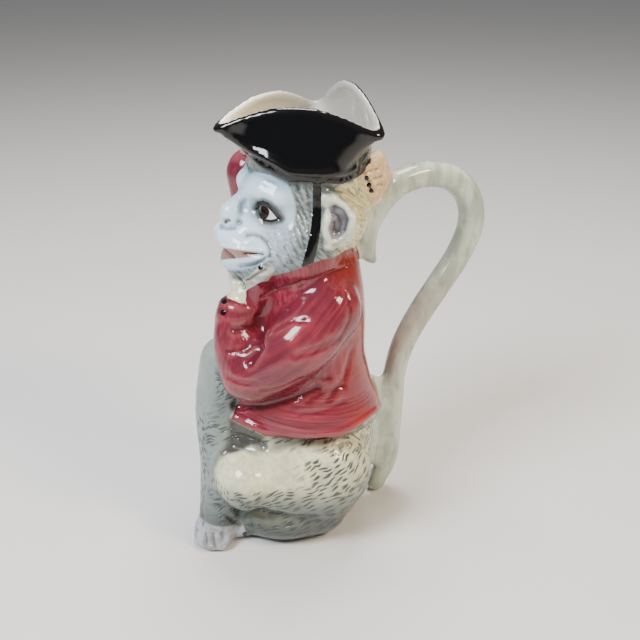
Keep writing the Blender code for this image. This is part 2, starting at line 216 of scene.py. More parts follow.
FACE_ROLLS = {
    "brow": arch([((18, -18, 208), 7), ((9, -23, 211), 8), ((0, -23.5, 211), 7)]),
    "nose": [((0, -24, 206), 6), ((0, -32, 203), 5.5), ((0, -37.5, 198.5), 6.6)],
    "nose wings": arch([((6, -34, 196), 4.4), ((0, -36, 196), 5.5)]),
    "upper lip": arch([((20, -26, 181), 5.5), ((12, -37, 184), 6), ((0, -40.5, 187), 6.2)]),
    "lower lip": arch([((19, -26, 175), 4), ((12, -35, 172.5), 4), ((0, -39.5, 172), 4.5)]),
    "chin": [((0, -31, 166), 8.5), ((0, -31, 160), 8)],
}
MOUTH_SLOT = arch([((17.5, -27, 178), 1.8), ((12, -34, 178), 2.8), ((0, -39.5, 179.5), 4.4)])
EAR_PLACES = [(31, 3, 208.5), (34.5, 9, 208), (37.5, 13, 203), (38.5, 15, 195.5), (37.5, 13.5, 189),
              (35, 9.5, 185.5), (32, 4, 186)]
EAR_RIM = [(place, 2.7) for place in EAR_PLACES]
LEFT_DIGITS = {
    "thumb": [((3, -33, 153), 4.6), ((1, -36, 159), 4.0), ((0.5, -37.5, 164), 3.4)],
    "index": [((9, -31, 158), 4.6), ((17, -29, 166), 4.2), ((21, -27, 171.5), 3.6)],
}
FINGER_TIPS = [(16, 34.5, 215), (17, 36, 209.5), (16, 38, 204), (14, 40, 199.5)]
FINGER_ROOTS = [(-1, 49, 218), (0, 51, 213), (0, 52, 208), (-1, 51, 203)]
FINGER_RADIUS = 3.8
TOES = [(4, -65, 4.5), (10, -66.5, 4.5), (15.5, -63, 4.5), (18, -57, 4.5)]
TOE_ROOT = (9, -56, 9)
TOE_RADIUS = 5.2
TAIL_RADIUS = 7.9
TAIL_REACH = 111.0
TAIL = [
    (0.470, 5, 0.80), (0.545, 22, 0.86), (0.560, 44, 0.86), (0.568, 64, 0.88),
    (0.572, 82, 0.92), (0.618, 101, 0.96), (0.712, 119, 1.00), (0.826, 136, 1.02),
    (0.935, 153, 1.02), (1.000, 171, 1.02), (0.975, 188, 1.02), (0.870, 200.5, 1.00),
    (0.722, 205, 1.00), (0.580, 203, 1.00), (0.470, 196, 1.08), (0.396, 184, 1.00),
    (0.375, 172, 0.86), (0.396, 162, 0.62), (0.425, 158, 0.42),
]


rolls = dict(LIMBS)
rolls.update(FACE_ROLLS)
rolls.update(LEFT_DIGITS)
rolls["left ear rim"] = EAR_RIM
rolls["right ear rim"] = mirrored(EAR_RIM)
rolls["tail"] = [((0, share * TAIL_REACH, z), TAIL_RADIUS * size) for share, z, size in TAIL]
for i, (tip, root) in enumerate(zip(FINGER_TIPS, FINGER_ROOTS)):
    rolls[f"right finger {i + 1}"] = [(root, FINGER_RADIUS * 1.15), (tip, FINGER_RADIUS)]
for i, toe in enumerate(TOES):
    rolls[f"right toe {i + 1}"] = [(TOE_ROOT, TOE_RADIUS), (toe, TOE_RADIUS)]
print(len(BODY_EGGS) + len(SMALL_EGGS), "eggs and", len(rolls), "rolls")


# %% Making an egg and a roll
def add_egg(centre, radii):
    """An ellipsoid at its place and size."""
    deselect()
    place = [MM * c for c in centre]
    size = [MM * r for r in radii]
    bpy.ops.mesh.primitive_uv_sphere_add(segments=32, ring_count=20, radius=1, location=place, scale=size)
    return bpy.context.object


def smooth_path(points, steps=6):
    """Points of a Catmull-Rom curve through rows of place and radius."""
    rows = np.array([list(place) + [radius] for place, radius in points], float)
    ends = np.vstack([2 * rows[0] - rows[1], rows, 2 * rows[-1] - rows[-2]])
    out = []
    for i in range(len(rows) - 1):
        a, b, c, d = ends[i:i + 4]
        for t in np.linspace(0, 1, steps, endpoint=False):
            curve = 2 * b + (c - a) * t + (2 * a - 5 * b + 4 * c - d) * t ** 2
            out.append((curve + (3 * b - a - 3 * c + d) * t ** 3) / 2)
    out.append(rows[-1])
    return np.array(out)


def add_roll(points, inset=0.0):
    """A round roll of clay along a path, with a ball at each end."""
    rows = smooth_path(points)
    deselect()
    bpy.ops.curve.primitive_nurbs_path_add()
    roll = bpy.context.object
    path = roll.data
    path.splines.clear()
    spline = path.splines.new("POLY")
    spline.points.add(len(rows) - 1)
    for point, (x, y, z, radius) in zip(spline.points, rows):
        point.co = (x * MM, y * MM, z * MM, 1)
        point.radius = radius - inset
    path.bevel_depth = MM
    path.bevel_resolution = 6
    path.use_fill_caps = True
    bpy.ops.object.convert(target="MESH")
    parts = [bpy.context.object]
    for x, y, z, radius in (rows[0], rows[-1]):
        parts.append(add_egg((x, y, z), [(radius - inset) * 1.01] * 3))
    return parts


# %% [markdown]
# ## The jacket's trunk and the hat
#
# Both are skins over a stack of rings. By hand you could extrude a circle ring by ring; a flat
# grid does the same in one go when each of its rows is wrapped round into a ring. The seam is
# welded with Merge by Distance and the two open ends are filled.

# %% A skin over a stack of rings
def add_skin(rings):
    """Wrap a grid round a stack of equal rings, weld its seam and fill its ends."""
    count = len(rings[0])
    deselect()
    bpy.ops.mesh.primitive_grid_add(x_subdivisions=count, y_subdivisions=len(rings) - 1, size=MM)
    skin = bpy.context.object
    wrapped = [list(ring) + [ring[0]] for ring in rings]
    places = np.array([point for ring in wrapped for point in ring], float) * MM
    skin.data.vertices.foreach_set("co", places.ravel())
    bpy.ops.object.mode_set(mode="EDIT")
    bpy.ops.mesh.select_all(action="SELECT")
    bpy.ops.mesh.remove_doubles(threshold=1e-6)
    bpy.ops.mesh.fill_holes(sides=0)
    bpy.ops.mesh.select_all(action="DESELECT")
    bpy.ops.mesh.select_mode(type="FACE")
    bpy.ops.mesh.select_face_by_sides(number=4, type="GREATER")
    bpy.ops.mesh.poke()
    bpy.ops.mesh.select_all(action="SELECT")
    bpy.ops.mesh.normals_make_consistent(inside=False)
    bpy.ops.object.mode_set(mode="OBJECT")
    return skin


# Rows of the trunk: height, middle in Y, half width, half depth
TRUNK = [
    (76, 4, 46.5, 45), (85, 4, 45, 43), (96, 3, 42, 39), (115, 2, 39, 35.5),
    (135, 3, 38, 35), (150, 4, 36, 33), (163, 5, 32, 30), (173, 6, 27, 26),
]
HEM_SLOPE = -0.10


def trunk_rings(inset=0.0):
    """Rings of the trunk, the hem sloping down to the back."""
    rings = []
    top = TRUNK[-1][0]
    bottom = TRUNK[0][0]
    for height, middle, half_width, half_depth in TRUNK:
        slope = HEM_SLOPE * (top - height) / (top - bottom)
        ring = []
        for turn in np.linspace(0, 2 * math.pi, 48, endpoint=False):
            x = (half_width - inset) * math.cos(turn)
            y = middle + (half_depth - inset) * math.sin(turn)
            lift = inset if height == bottom else 0
            ring.append((x, y, height + lift + slope * y))
        rings.append(ring)
    return rings


# %% The three-cornered hat
CORNERS = [(0, -49, 243.5), (43, 32.5, 240.5), (-43, 32.5, 240.5)]
PANEL_RISE = [14, 21.5, 14]
PANEL_STEPS = 16
HAT_MIDDLE = np.array((0.0, 7.0))


def rim_points():
    """The rim: straight panels between the corners, raised in the middle, corners eased."""
    rim = []
    for i, rise in enumerate(PANEL_RISE):
        start = np.array(CORNERS[i], float)
        end = np.array(CORNERS[(i + 1) % 3], float)
        for t in np.linspace(0, 1, PANEL_STEPS, endpoint=False):
            point = start + (end - start) * t
            point[2] += rise * math.sin(math.pi * t)
            rim.append(point)
    rim = np.array(rim)
    for _ in range(2):
        rim = (np.roll(rim, 1, 0) + 2 * rim + np.roll(rim, -1, 0)) / 4
    return rim


def hat_rings(inset=0.0, edge=0.0):
    """Rings of the hat from the crown's foot to the rim, moved in by the inset."""
    rim = rim_points()
    out = rim[:, :2] - HAT_MIDDLE
    reach = np.linalg.norm(out, axis=1, keepdims=True)
    ray = out / reach
    corner = ramp(reach, 25, 45)

    def oval(half_width, front, back, height):
        depth = np.where(ray[:, 1:] < 0, front, back)
        size = 1 / np.sqrt((ray[:, :1] / half_width) ** 2 + (ray[:, 1:] / depth) ** 2)
        return np.hstack([HAT_MIDDLE + ray * (size - inset), height])

    foot = oval(28, 30, 27, np.full_like(reach, 208.0 + inset))
    band = oval(31, 33.5, 30, 218 + 9 * corner + inset)
    fold = oval(35.5, 37.5, 33, 222.5 + 10 * corner + inset)
    top = rim.copy()
    top[:, :2] = HAT_MIDDLE + ray * (reach - edge)
    waist = 0.55 * fold + 0.45 * top
    waist[:, :2] += ray * (1.5 + 1.0 * corner)
    return [foot, band, fold, waist, top]


print("rim runs from", rim_points()[:, 2].min().round(1), "to", rim_points()[:, 2].max().round(1), "mm")

# %% [markdown]
# ## One skin of clay
#
# Voxel Remesh does what wet clay does: everything that overlaps becomes one skin. It comes
# twice. The first pass is coarse, and a Smooth modifier then melts the joints of body and arms,
# with a vertex group that keeps the face, the hands and the feet crisp. The hollow is fused and
# smoothed in the same way, a wall's thickness inside, and a Boolean takes it out, so the wall is
# real everywhere. A block takes off the bottom for a flat underside. The second pass is fine, and
# gives an even skin that small tools can shape.

# %% Fusing, blending and cutting
WALL = 4.5
LIP = 4.0
LIP_DROP = 2.6
LEAST_SOFT = 0.12
COARSE_VOXEL = 2.0
FINE_VOXEL = 1.54


def join_all(parts, name):
    """Join several objects to one, with its place in its mesh."""
    deselect()
    for part in parts:
        part.select_set(True)
    bpy.context.view_layer.objects.active = parts[0]
    bpy.ops.object.join()
    whole = bpy.context.object
    whole.name = name
    bpy.ops.object.transform_apply(location=True, rotation=True, scale=True)
    return whole


def change(obj, kind, **settings):
    """Give an object a modifier with its settings, and apply it."""
    pick(obj)
    step = obj.modifiers.new("Step", kind)
    for key, value in settings.items():
        setattr(step, key, value)
    bpy.ops.object.modifier_apply(modifier=step.name)


def fuse(obj, voxel):
    """Fuse what overlaps into one even skin."""
    change(obj, "REMESH", mode="VOXEL", voxel_size=voxel * MM)


def blend(obj, rounds, group=""):
    """Melt the joints between masses."""
    change(obj, "SMOOTH", factor=0.5, iterations=rounds, vertex_group=group)


def read_places(obj):
    """The mesh's points in millimetres."""
    flat = np.empty(len(obj.data.vertices) * 3)
    obj.data.vertices.foreach_get("co", flat)
    return flat.reshape(-1, 3) / MM


def read_normals(obj):
    """The mesh's point normals."""
    flat = np.empty(len(obj.data.vertices) * 3, np.float32)
    obj.data.vertex_normals.foreach_get("vector", flat)
    return flat.reshape(-1, 3).astype(float)


def write_places(obj, places):
    """Put moved points back, given in millimetres."""
    obj.data.vertices.foreach_set("co", (places * MM).ravel())
    obj.data.update()


def neighbour_mean(obj, values, rounds):
    """Smooth a row of values for each point by its neighbours, some rounds over."""
    ends = np.empty(len(obj.data.edges) * 2, np.int32)
    obj.data.edges.foreach_get("vertices", ends)
    first, second = ends.reshape(-1, 2).T
    counts = np.bincount(ends, minlength=len(values))[:, None]
    for _ in range(rounds):
        total = np.zeros_like(values)
        for k in range(values.shape[1]):
            total[:, k] += np.bincount(first, values[second, k], len(values))
            total[:, k] += np.bincount(second, values[first, k], len(values))
        values = 0.5 * values + 0.5 * total / counts
    return values


def weigh(obj, name, weights):
    """A vertex group with a weight for each point, in a hundred steps."""
    group = obj.vertex_groups.new(name=name)
    steps = np.round(weights * 100).astype(int)
    for step in np.unique(steps):
        group.add(np.flatnonzero(steps == step).tolist(), step / 100, "REPLACE")


def take_out(obj, cutter):
    """Take one closed body out of another, and stop if nothing was taken."""
    before = len(obj.data.vertices)
    change(obj, "BOOLEAN", operation="DIFFERENCE", solver="MANIFOLD", object=cutter)
    if len(obj.data.vertices) == before:
        raise RuntimeError(f"nothing was taken out of {obj.name}")


def slice_below(obj, height):
    """Cut the object flat at a height, keeping what is above."""
    deselect()
    bpy.ops.mesh.primitive_cube_add(size=1, location=(0, 0, (height - 50) * MM), scale=[0.4, 0.4, 100 * MM])
    block = bpy.context.object
    take_out(obj, block)
    bpy.data.objects.remove(block)


# %% The outside, fused and blended
outside_parts = []
for centre, radii in list(BODY_EGGS.values()) + list(SMALL_EGGS.values()):
    outside_parts.append(add_egg(centre, radii))
for points in rolls.values():
    outside_parts += add_roll(points)
outside_parts.append(add_skin(trunk_rings()))
outside_parts.append(add_skin(hat_rings()))
pitcher = join_all(outside_parts, "glazed_monkey_pitcher")
fuse(pitcher, COARSE_VOXEL)
slot = join_all(add_roll(MOUTH_SLOT), "mouth slot")
fuse(slot, COARSE_VOXEL / 2)
take_out(pitcher, slot)
bpy.data.objects.remove(slot)

spots = read_places(pitcher)
below_head = ramp(spots[:, 2], 168, 154)
at_hand = ramp(spots[:, 2], 136, 144) * ramp(spots[:, 1], -22, -28)
at_feet = ramp(spots[:, 2], 24, 16) * ramp(spots[:, 1], -38, -44)
soft = below_head * (1 - at_hand) * (1 - at_feet)
weigh(pitcher, "soft", LEAST_SOFT + (1 - LEAST_SOFT) * soft)
blend(pitcher, 14, "soft")
print("coarse skin:", len(pitcher.data.polygons), "faces")

# %% The hollow, taken out
inside_parts = []
for centre, radii in BODY_EGGS.values():
    inside_parts.append(add_egg(centre, [r - WALL for r in radii]))
for name in ("left upper arm", "left thigh", "left shin", "right thigh", "right upper arm"):
    inside_parts += add_roll(LIMBS[name], WALL)
inside_parts.append(add_skin(trunk_rings(WALL)))
mouth_rings = hat_rings(WALL, LIP)
above = mouth_rings[-1] + np.array((0, 0, 20))
inside_parts.append(add_skin(mouth_rings + [above]))
hollow = join_all(inside_parts, "hollow")
fuse(hollow, COARSE_VOXEL)
blend(hollow, 5)

slice_below(hollow, WALL)
slice_below(pitcher, 0)
take_out(pitcher, hollow)

lip = rim_points()
lip_ray = lip[:, :2] - HAT_MIDDLE
lip[:, :2] -= lip_ray / np.linalg.norm(lip_ray, axis=1, keepdims=True) * LIP / 2
lip[:, 2] -= LIP_DROP
lip_points = [(tuple(point), LIP / 2 + 0.4) for point in np.vstack([lip, lip[:1]])]
pitcher = join_all([pitcher] + add_roll(lip_points), "glazed_monkey_pitcher")
hollow_places = read_places(hollow)
hollow_tree = BVHTree.FromPolygons(hollow_places.tolist(), [p.vertices[:] for p in hollow.data.polygons])
bpy.data.objects.remove(hollow)
pitcher.vertex_groups.clear()
fuse(pitcher, FINE_VOXEL)
blend(pitcher, 3)
spots = read_places(pitcher)
weigh(pitcher, "rim", ramp(spots[:, 2], 232, 240))
blend(pitcher, 8, "rim")
pitcher.vertex_groups.clear()
print("fine skin:", len(pitcher.data.polygons), "faces")

# %% [markdown]
# ## Faces where they are needed
#
# Nobody sees the wall deep inside, so its faces are collapsed to a few thousand. The head gets
# the faces instead: each of its faces is cut in four, and is then fine enough for eyelids.

# %% Thin inside, dense head
def hollow_distance(points):
    """How far each point is from the hollow's own skin."""
    return np.array([hollow_tree.find_nearest(point)[3] for point in points.tolist()])


INSIDE_TRIANGLES = 9000
SEEN_INSIDE_FROM = 226
spots = read_places(pitcher)
deep_inside = (hollow_distance(spots) < 1.2) & (spots[:, 2] < SEEN_INSIDE_FROM)
weigh(pitcher, "thin", deep_inside.astype(float))
share = deep_inside.mean()
ratio = 1 - share + INSIDE_TRIANGLES / (2 * len(pitcher.data.polygons))
change(pitcher, "DECIMATE", ratio=ratio, vertex_group="thin", vertex_group_factor=1.0)
pitcher.vertex_groups.clear()
print("thinned to", len(pitcher.data.polygons), "faces")


def refine(obj, chosen):
    """Cut the faces that have a chosen point in four, and melt the new corners."""
    picked = [bool(chosen[list(face.vertices)].any()) for face in obj.data.polygons]
    pick(obj)
    bpy.ops.object.mode_set(mode="EDIT")
    bpy.ops.mesh.select_mode(type="FACE")
    bpy.ops.mesh.select_all(action="DESELECT")
    bpy.ops.object.mode_set(mode="OBJECT")
    obj.data.polygons.foreach_set("select", picked)
    bpy.ops.object.mode_set(mode="EDIT")
    bpy.ops.mesh.subdivide(number_cuts=1)
    bpy.ops.mesh.vertices_smooth(factor=0.5, repeat=2)
    bpy.ops.object.mode_set(mode="OBJECT")


spots = read_places(pitcher)
on_outside = hollow_distance(spots) > 2
on_face = (spots[:, 2] > 156) & (spots[:, 2] < 213) & (np.abs(spots[:, 0]) < 44) & (spots[:, 1] < 34)
refine(pitcher, on_outside & on_face)
print("with the head refined:", len(pitcher.data.polygons), "faces")

# %% [markdown]
# ## Hollows pressed in with a tool
#
# Mouth, eye sockets, folds of the sleeve and the creases between the legs are pressed into the
# skin. Each is a line, drawn where it shows in the picture, and every point of the clay near the
# line sinks along the clay's own normal, by a depth that fades with the distance. A negative depth
# raises a ridge. The face is the same on both sides, so its lines are mirrored and snapped to the
# nearest clay. Sculpt Mode does this with a brush; doing it by formula gives the same result each
# run.

# %% Drawing on the clay through the camera
def seen_point(tree, pixel):
    """The point of the surface, in millimetres, that shows at a pixel of the picture."""
    across = (pixel[0] - FRAME_PIXELS / 2) / FOCAL_PIXELS
    down = (pixel[1] - FRAME_PIXELS / 2) / FOCAL_PIXELS
    return tree.ray_cast(EYE_POINT, (AHEAD + RIGHT * across - UP * down).normalized())[0]


def clay_tree(obj):
    """A search tree of the skin, in millimetres."""
    places = read_places(obj)
    return BVHTree.FromPolygons(places.tolist(), [p.vertices[:] for p in obj.data.polygons])


def line_gap(points, line):
    """The distance of each point to a line of joined segments."""
    nearest = np.full(len(points), np.inf)
    for start, end in zip(line, line[1:]):
        along = end - start
        share = np.clip((points - start) @ along / max(along @ along, 1e-9), 0, 1)
        nearest = np.minimum(nearest, np.linalg.norm(points - start - share[:, None] * along, axis=1))
    return nearest


def press(obj, tools):
    """Sink or raise the skin along each tool's line."""
    tree = clay_tree(obj)
    places = read_places(obj)
    push = neighbour_mean(obj, read_normals(obj), 8)
    push /= np.linalg.norm(push, axis=1, keepdims=True)
    sink = np.zeros(len(places))
    raised = np.zeros(len(places))
    for pixels, half_width, depth, both in tools.values():
        found = [seen_point(tree, pixel) for pixel in pixels]
        line = [np.array(p) for p in found if p is not None]
        if len(line) < 2:
            line = line * 2
        lines = [line]
        if both:
            twins = [tree.find_nearest(Vector((-x, y, z)))[0] for x, y, z in line]
            lines.append([np.array(p) for p in twins])
        for path in lines:
            low = np.min(path, axis=0) - 3 * half_width
            high = np.max(path, axis=0) + 3 * half_width
            near = np.flatnonzero(np.all((places > low) & (places < high), axis=1))
            fade = np.exp(-(line_gap(places[near], path) / half_width) ** 2)
            if depth > 0:
                sink[near] = np.maximum(sink[near], depth * fade)
            else:
                raised[near] = np.maximum(raised[near], -depth * fade)
    write_places(obj, places - push * (sink - raised)[:, None])


# %% The larger hollows: pixels, half width and depth in millimetres, on both sides or not
HAT_FOOT = [(252.6, 161), (260, 167), (270, 172.5), (278.6, 177), (290, 182), (307, 182), (323.5, 182.5),
            (340, 184.5), (349, 182), (354, 179)]
NECKLINE = [(241, 293), (256, 285), (268, 277), (290, 271.5), (301, 268), (315, 262), (334, 257),
            (350, 248)]
HEM = [(233, 420), (250, 429), (266, 436), (290, 439), (316, 440), (338, 437.5), (352, 431), (364, 423),
       (376, 413), (384, 404)]
LARGE_TOOLS = {
    "eye socket": ([(257, 206), (267, 210), (277, 216)], 5.2, 2.6, True),
    "nose side": ([(243, 202), (242, 211), (240, 220)], 2.4, 2.0, True),
    "brim fold": ([(228, 134), (240, 142), (253, 150), (267, 158), (277, 164), (287, 170), (296, 173),
                   (312, 173), (330, 173), (345, 172), (353, 168)], 2.6, -2.4, True),
    "ear bowl": ([(333, 212), (341, 220), (336, 232)], 4.4, 4.0, True),
    "ear front": ([(323, 200), (322, 220), (325, 244)], 2.5, 1.4, True),
    "knee fold": ([(238, 503), (256, 509), (271, 511), (284, 513)], 2.4, 2.2, False),
    "full haunch": ([(292, 512), (304, 512), (314, 511)], 4.5, -1.1, False),
    "under the arm": ([(236, 406), (261, 406), (290, 399), (318, 388)], 2.4, 2.4, False),
    "arm fold": ([(257, 318), (263, 332), (260, 348), (250, 362)], 2.6, 2.4, False),
    "cuff end": ([(214, 326), (235, 330), (256, 327)], 1.8, 1.6, False),
    "sleeve fold": ([(296, 356), (318, 350), (338, 340)], 2.4, 1.0, False),
    "back fold": ([(330, 398), (345, 378), (352, 352)], 2.4, 1.2, False),
    "under the belly": ([(240, 437), (252, 441), (263, 446)], 2.0, 2.4, False),
}
FACE_TOOLS = {
    "eyeball": ([(263, 210), (269, 214.5)], 2.6, -1.0, True),
    "nostril": ([(224.5, 221.5), (228.5, 221)], 1.2, 1.8, True),
    "under the nose": ([(218, 225), (225, 228), (233, 227.5), (239, 222)], 1.6, 1.8, True),
    "smile": ([(247, 235), (254, 234.5), (261, 236.5), (267.5, 241.5), (271, 249.5), (270, 257)],
              1.4, 1.8, True),
    "lip corner": ([(250, 241), (258, 242), (264, 247), (265, 252)], 1.8, -0.9, True),
    "mouth corner": ([(245, 254.5), (254, 254.5), (263, 254.5)], 1.1, 1.8, True),
    "under the brim": ([(252, 158), (260, 162), (270, 167), (279, 172.5), (288, 177), (298, 178.5),
                        (323, 179), (340, 179), (352, 176)], 1.5, 2.2, True),
    "index": ([(246, 280), (254, 273.5), (262, 267)], 2.2, -1.8, False),
    "thumb": ([(233, 275), (234, 281), (235, 287)], 2.2, -1.8, False),
    "foot of the hat": ([(pixel[0], pixel[1] + 2) for pixel in HAT_FOOT], 1.2, 1.0, True),
    "lower lip": ([(221, 261), (234, 262), (247, 261), (260, 258)], 1.4, -1.0, True),
    "under the lip": ([(226, 269), (240, 268), (254, 265), (265, 259)], 1.4, 1.4, True),
    "ear rim": ([(324, 197), (333, 195.5), (343, 198.5), (350.5, 206), (354, 217), (352.5, 229),
                 (346, 237), (336, 242)], 1.9, -1.4, True),
    "strap": ([(317, 183), (317, 210), (316, 225), (314, 240), (311, 252), (308, 262)], 2.1, -1.0, True),
    "cheek dimple": ([(281, 233), (284, 234)], 1.8, 0.8, True),
    "hem": ([(pixel[0], pixel[1] - 4) for pixel in HEM], 1.5, -1.0, True),
    "cuff band": ([(219, 318), (235, 321), (252, 318)], 2.2, -0.6, False),
    "collar": ([(262, 297), (281, 289), (302, 281), (327, 274), (346, 267)], 1.0, 0.9, False),
}
press(pitcher, LARGE_TOOLS)
press(pitcher, FACE_TOOLS)
print("large hollows:", len(LARGE_TOOLS), "and on the face:", len(FACE_TOOLS))

# %% [markdown]
# ## Fine tooling
#
# The last tools are wire-thin. They draw eyelids, locks of fur, the ripples in the ear, the gaps
# between fingers and the creases of the cloth.

# %% Lids, locks, fingers and creases
FINE_TOOLS = {
    "upper lid": ([(255.5, 204), (258, 200.5), (263, 198.5), (269.5, 201.5), (275, 208), (281, 217)],
                  1.0, -0.8, True),
    "lower lid": ([(265, 222.5), (271, 223), (277, 221.5)], 0.9, -0.5, True),
    "lid line": ([(257.5, 204.5), (262, 203), (268, 206), (273, 212), (278, 219)], 0.7, 0.6, True),
    "lip edge": ([(222, 245), (232, 248), (243, 250), (254, 249.5), (262, 251)], 1.1, -0.6, True),
}
LOCKS = [
    [(296, 184), (300, 192), (303, 200)], [(304, 182), (307, 190), (309, 198)],
    [(297, 199), (301, 207), (305, 215), (307, 222)], [(298, 212), (302, 220), (305, 229)],
    [(297, 223), (300, 231), (304, 239)], [(294, 232), (297, 240), (302, 248)],
    [(290, 239), (293, 247), (298, 256)], [(284, 247), (287, 254), (292, 262)],
    [(277, 256), (281, 262), (285, 267)], [(309, 203), (311, 213)], [(308, 225), (309, 234)],
    [(303, 241), (305, 249)], [(296, 252), (299, 260)],
    [(357, 192), (362, 204), (363, 216), (361, 228), (356, 241)], [(348, 189), (355, 195)],
    [(359, 189), (364, 203), (366, 216)], [(347, 244), (353, 250)], [(334, 246), (341, 253)],
    [(329, 186), (334, 190), (342, 192)], [(322, 249), (329, 256)], [(357, 243), (361, 234)],
]
FINGER_GAPS = [
    [(365, 174), (372, 170), (379, 168)], [(368, 182), (375, 178), (383, 176)],
    [(370, 188.5), (377, 185), (383, 184)], [(363, 164), (370, 158), (376, 156)],
    [(240, 279), (244, 288)], [(247, 281), (258, 274), (266, 270)],
]
TOE_GAPS = [
    [(205, 533), (206, 543)], [(213, 534), (214.5, 547)], [(222, 533), (225, 546)],
    [(195.5, 512), (197, 530)], [(201, 506), (202, 526)], [(228, 517), (240, 524)],
]
EAR_RIPPLES = [
    [(334, 207), (342, 210), (347, 219), (344, 231)], [(332, 213), (339, 216), (341, 224), (338, 233)],
    [(331, 220), (335, 223), (335, 231)],
]
CREASES = [
    [(296, 392), (312, 381), (330, 376)], [(308, 402), (326, 391), (345, 386)],
    [(340, 338), (349, 322), (351, 303)], [(276, 330), (290, 322), (306, 321)],
    [(228, 352), (244, 350), (258, 343)], [(226, 376), (240, 383), (256, 384)],
    [(262, 391), (282, 388), (300, 379)], [(338, 284), (346, 292), (350, 304)],
    [(349, 250), (353, 259)], [(355, 248), (358, 258)], [(344, 254), (348, 263)],
    [(300, 415), (322, 412), (344, 402)],
]
BUTTONS = [(224, 301), (223, 312.6)]
LINE_SETS = {"lock": (LOCKS, 0.85, 0.9, True), "finger gap": (FINGER_GAPS, 0.9, 1.5, False),
             "toe gap": (TOE_GAPS, 1.2, 1.8, False), "ear ripple": (EAR_RIPPLES, 0.7, 0.6, True),
             "crease": (CREASES, 1.3, 0.8, False)}
for name, (lines, half_width, depth, both) in LINE_SETS.items():
    for i, line in enumerate(lines):
        FINE_TOOLS[f"{name} {i + 1}"] = (line, half_width, depth, both)
for i, centre in enumerate(BUTTONS):
    FINE_TOOLS[f"button {i + 1}"] = ([centre], 1.4, -1.0, False)
press(pitcher, FINE_TOOLS)
print("fine tools:", len(FINE_TOOLS))

# %% [markdown]
# ## Where each colour ends
#
# The painter follows the modelling: red up to the hem and the neckline, black over the hat and
# the strap. Each border is stored on the mesh as a distance in millimetres, positive inside the
# colour. A distance changes evenly across a face, so the border that the shader draws at zero is
# far sharper than the mesh, which a painted vertex colour never is.
#
# Two kinds of distance are used. One compares how near a point lies to two masses, so the border
# runs in the crease between them. The other takes the point through the camera and measures in
# the picture, with the far side of the face mirrored onto the near one.

# %% Distances to the masses
def egg_gap(points, centre, radii):
    """Roughly how far each point lies outside an ellipsoid."""
    scaled = (points - np.array(centre)) / np.array(radii)
    size = np.linalg.norm(scaled, axis=1)
    slope = np.linalg.norm(scaled / np.array(radii), axis=1)
    return size * (size - 1) / np.maximum(slope, 1e-6)


def roll_gap(points, rows):
    """How far each point lies outside a roll."""
    nearest = np.full(len(points), np.inf)
    for x, y, z, radius in smooth_path(rows, 5):
        nearest = np.minimum(nearest, np.linalg.norm(points - (x, y, z), axis=1) - radius)
    return nearest


def trunk_gap(points):
    """How far each point lies outside the jacket's trunk."""
    rows = np.array(TRUNK, float)
    share = np.clip((rows[-1, 0] - points[:, 2]) / (rows[-1, 0] - rows[0, 0]), 0, 1)
    height = points[:, 2] - HEM_SLOPE * points[:, 1] * share
    middle, half_width, half_depth = (np.interp(height, rows[:, 0], rows[:, k]) for k in (1, 2, 3))
    size = np.hypot(points[:, 0] / half_width, (points[:, 1] - middle) / half_depth)
    side = (size - 1) * np.minimum(half_width, half_depth)
    return np.maximum(side, np.maximum(rows[0, 0] - height, height - rows[-1, 0]))


def nearest_gap(points, egg_names=(), roll_names=()):
    """The smallest distance to any of the named masses."""
    eggs = {**BODY_EGGS, **SMALL_EGGS}
    gaps = [egg_gap(points, *eggs[name]) for name in egg_names]
    gaps += [roll_gap(points, rolls[name]) for name in roll_names]
    return np.min(gaps, axis=0)


# %% Distances in the picture
def to_picture(points):
    """Where each point shows in the picture, in pixels."""
    away = points - np.array(EYE_POINT)
    depth = away @ np.array(AHEAD)
    across = FRAME_PIXELS / 2 + FOCAL_PIXELS * (away @ np.array(RIGHT)) / depth
    down = FRAME_PIXELS / 2 - FOCAL_PIXELS * (away @ np.array(UP)) / depth
    return np.stack([across, down], axis=1)


def outline_depth(pixels, corners):
    """How deep each pixel lies inside a closed outline, in millimetres, negative outside."""
    corners = np.array(corners, float)
    inside = np.zeros(len(pixels), bool)
    for start, end in zip(corners, np.roll(corners, -1, axis=0)):
        crosses = (start[1] > pixels[:, 1]) != (end[1] > pixels[:, 1])
        if start[1] != end[1]:
            at = start[0] + (pixels[:, 1] - start[1]) * (end[0] - start[0]) / (end[1] - start[1])
            inside ^= crosses & (pixels[:, 0] < at)
    gap = line_gap(pixels, np.vstack([corners, corners[:1]]))
    return np.where(inside, gap, -gap) / PIXELS_PER_MM


def spot_depth(pixels, centre, radius):
    """How deep each pixel lies inside a round spot, in millimetres."""
    return (radius - np.linalg.norm(pixels - np.array(centre, float), axis=1)) / PIXELS_PER_MM


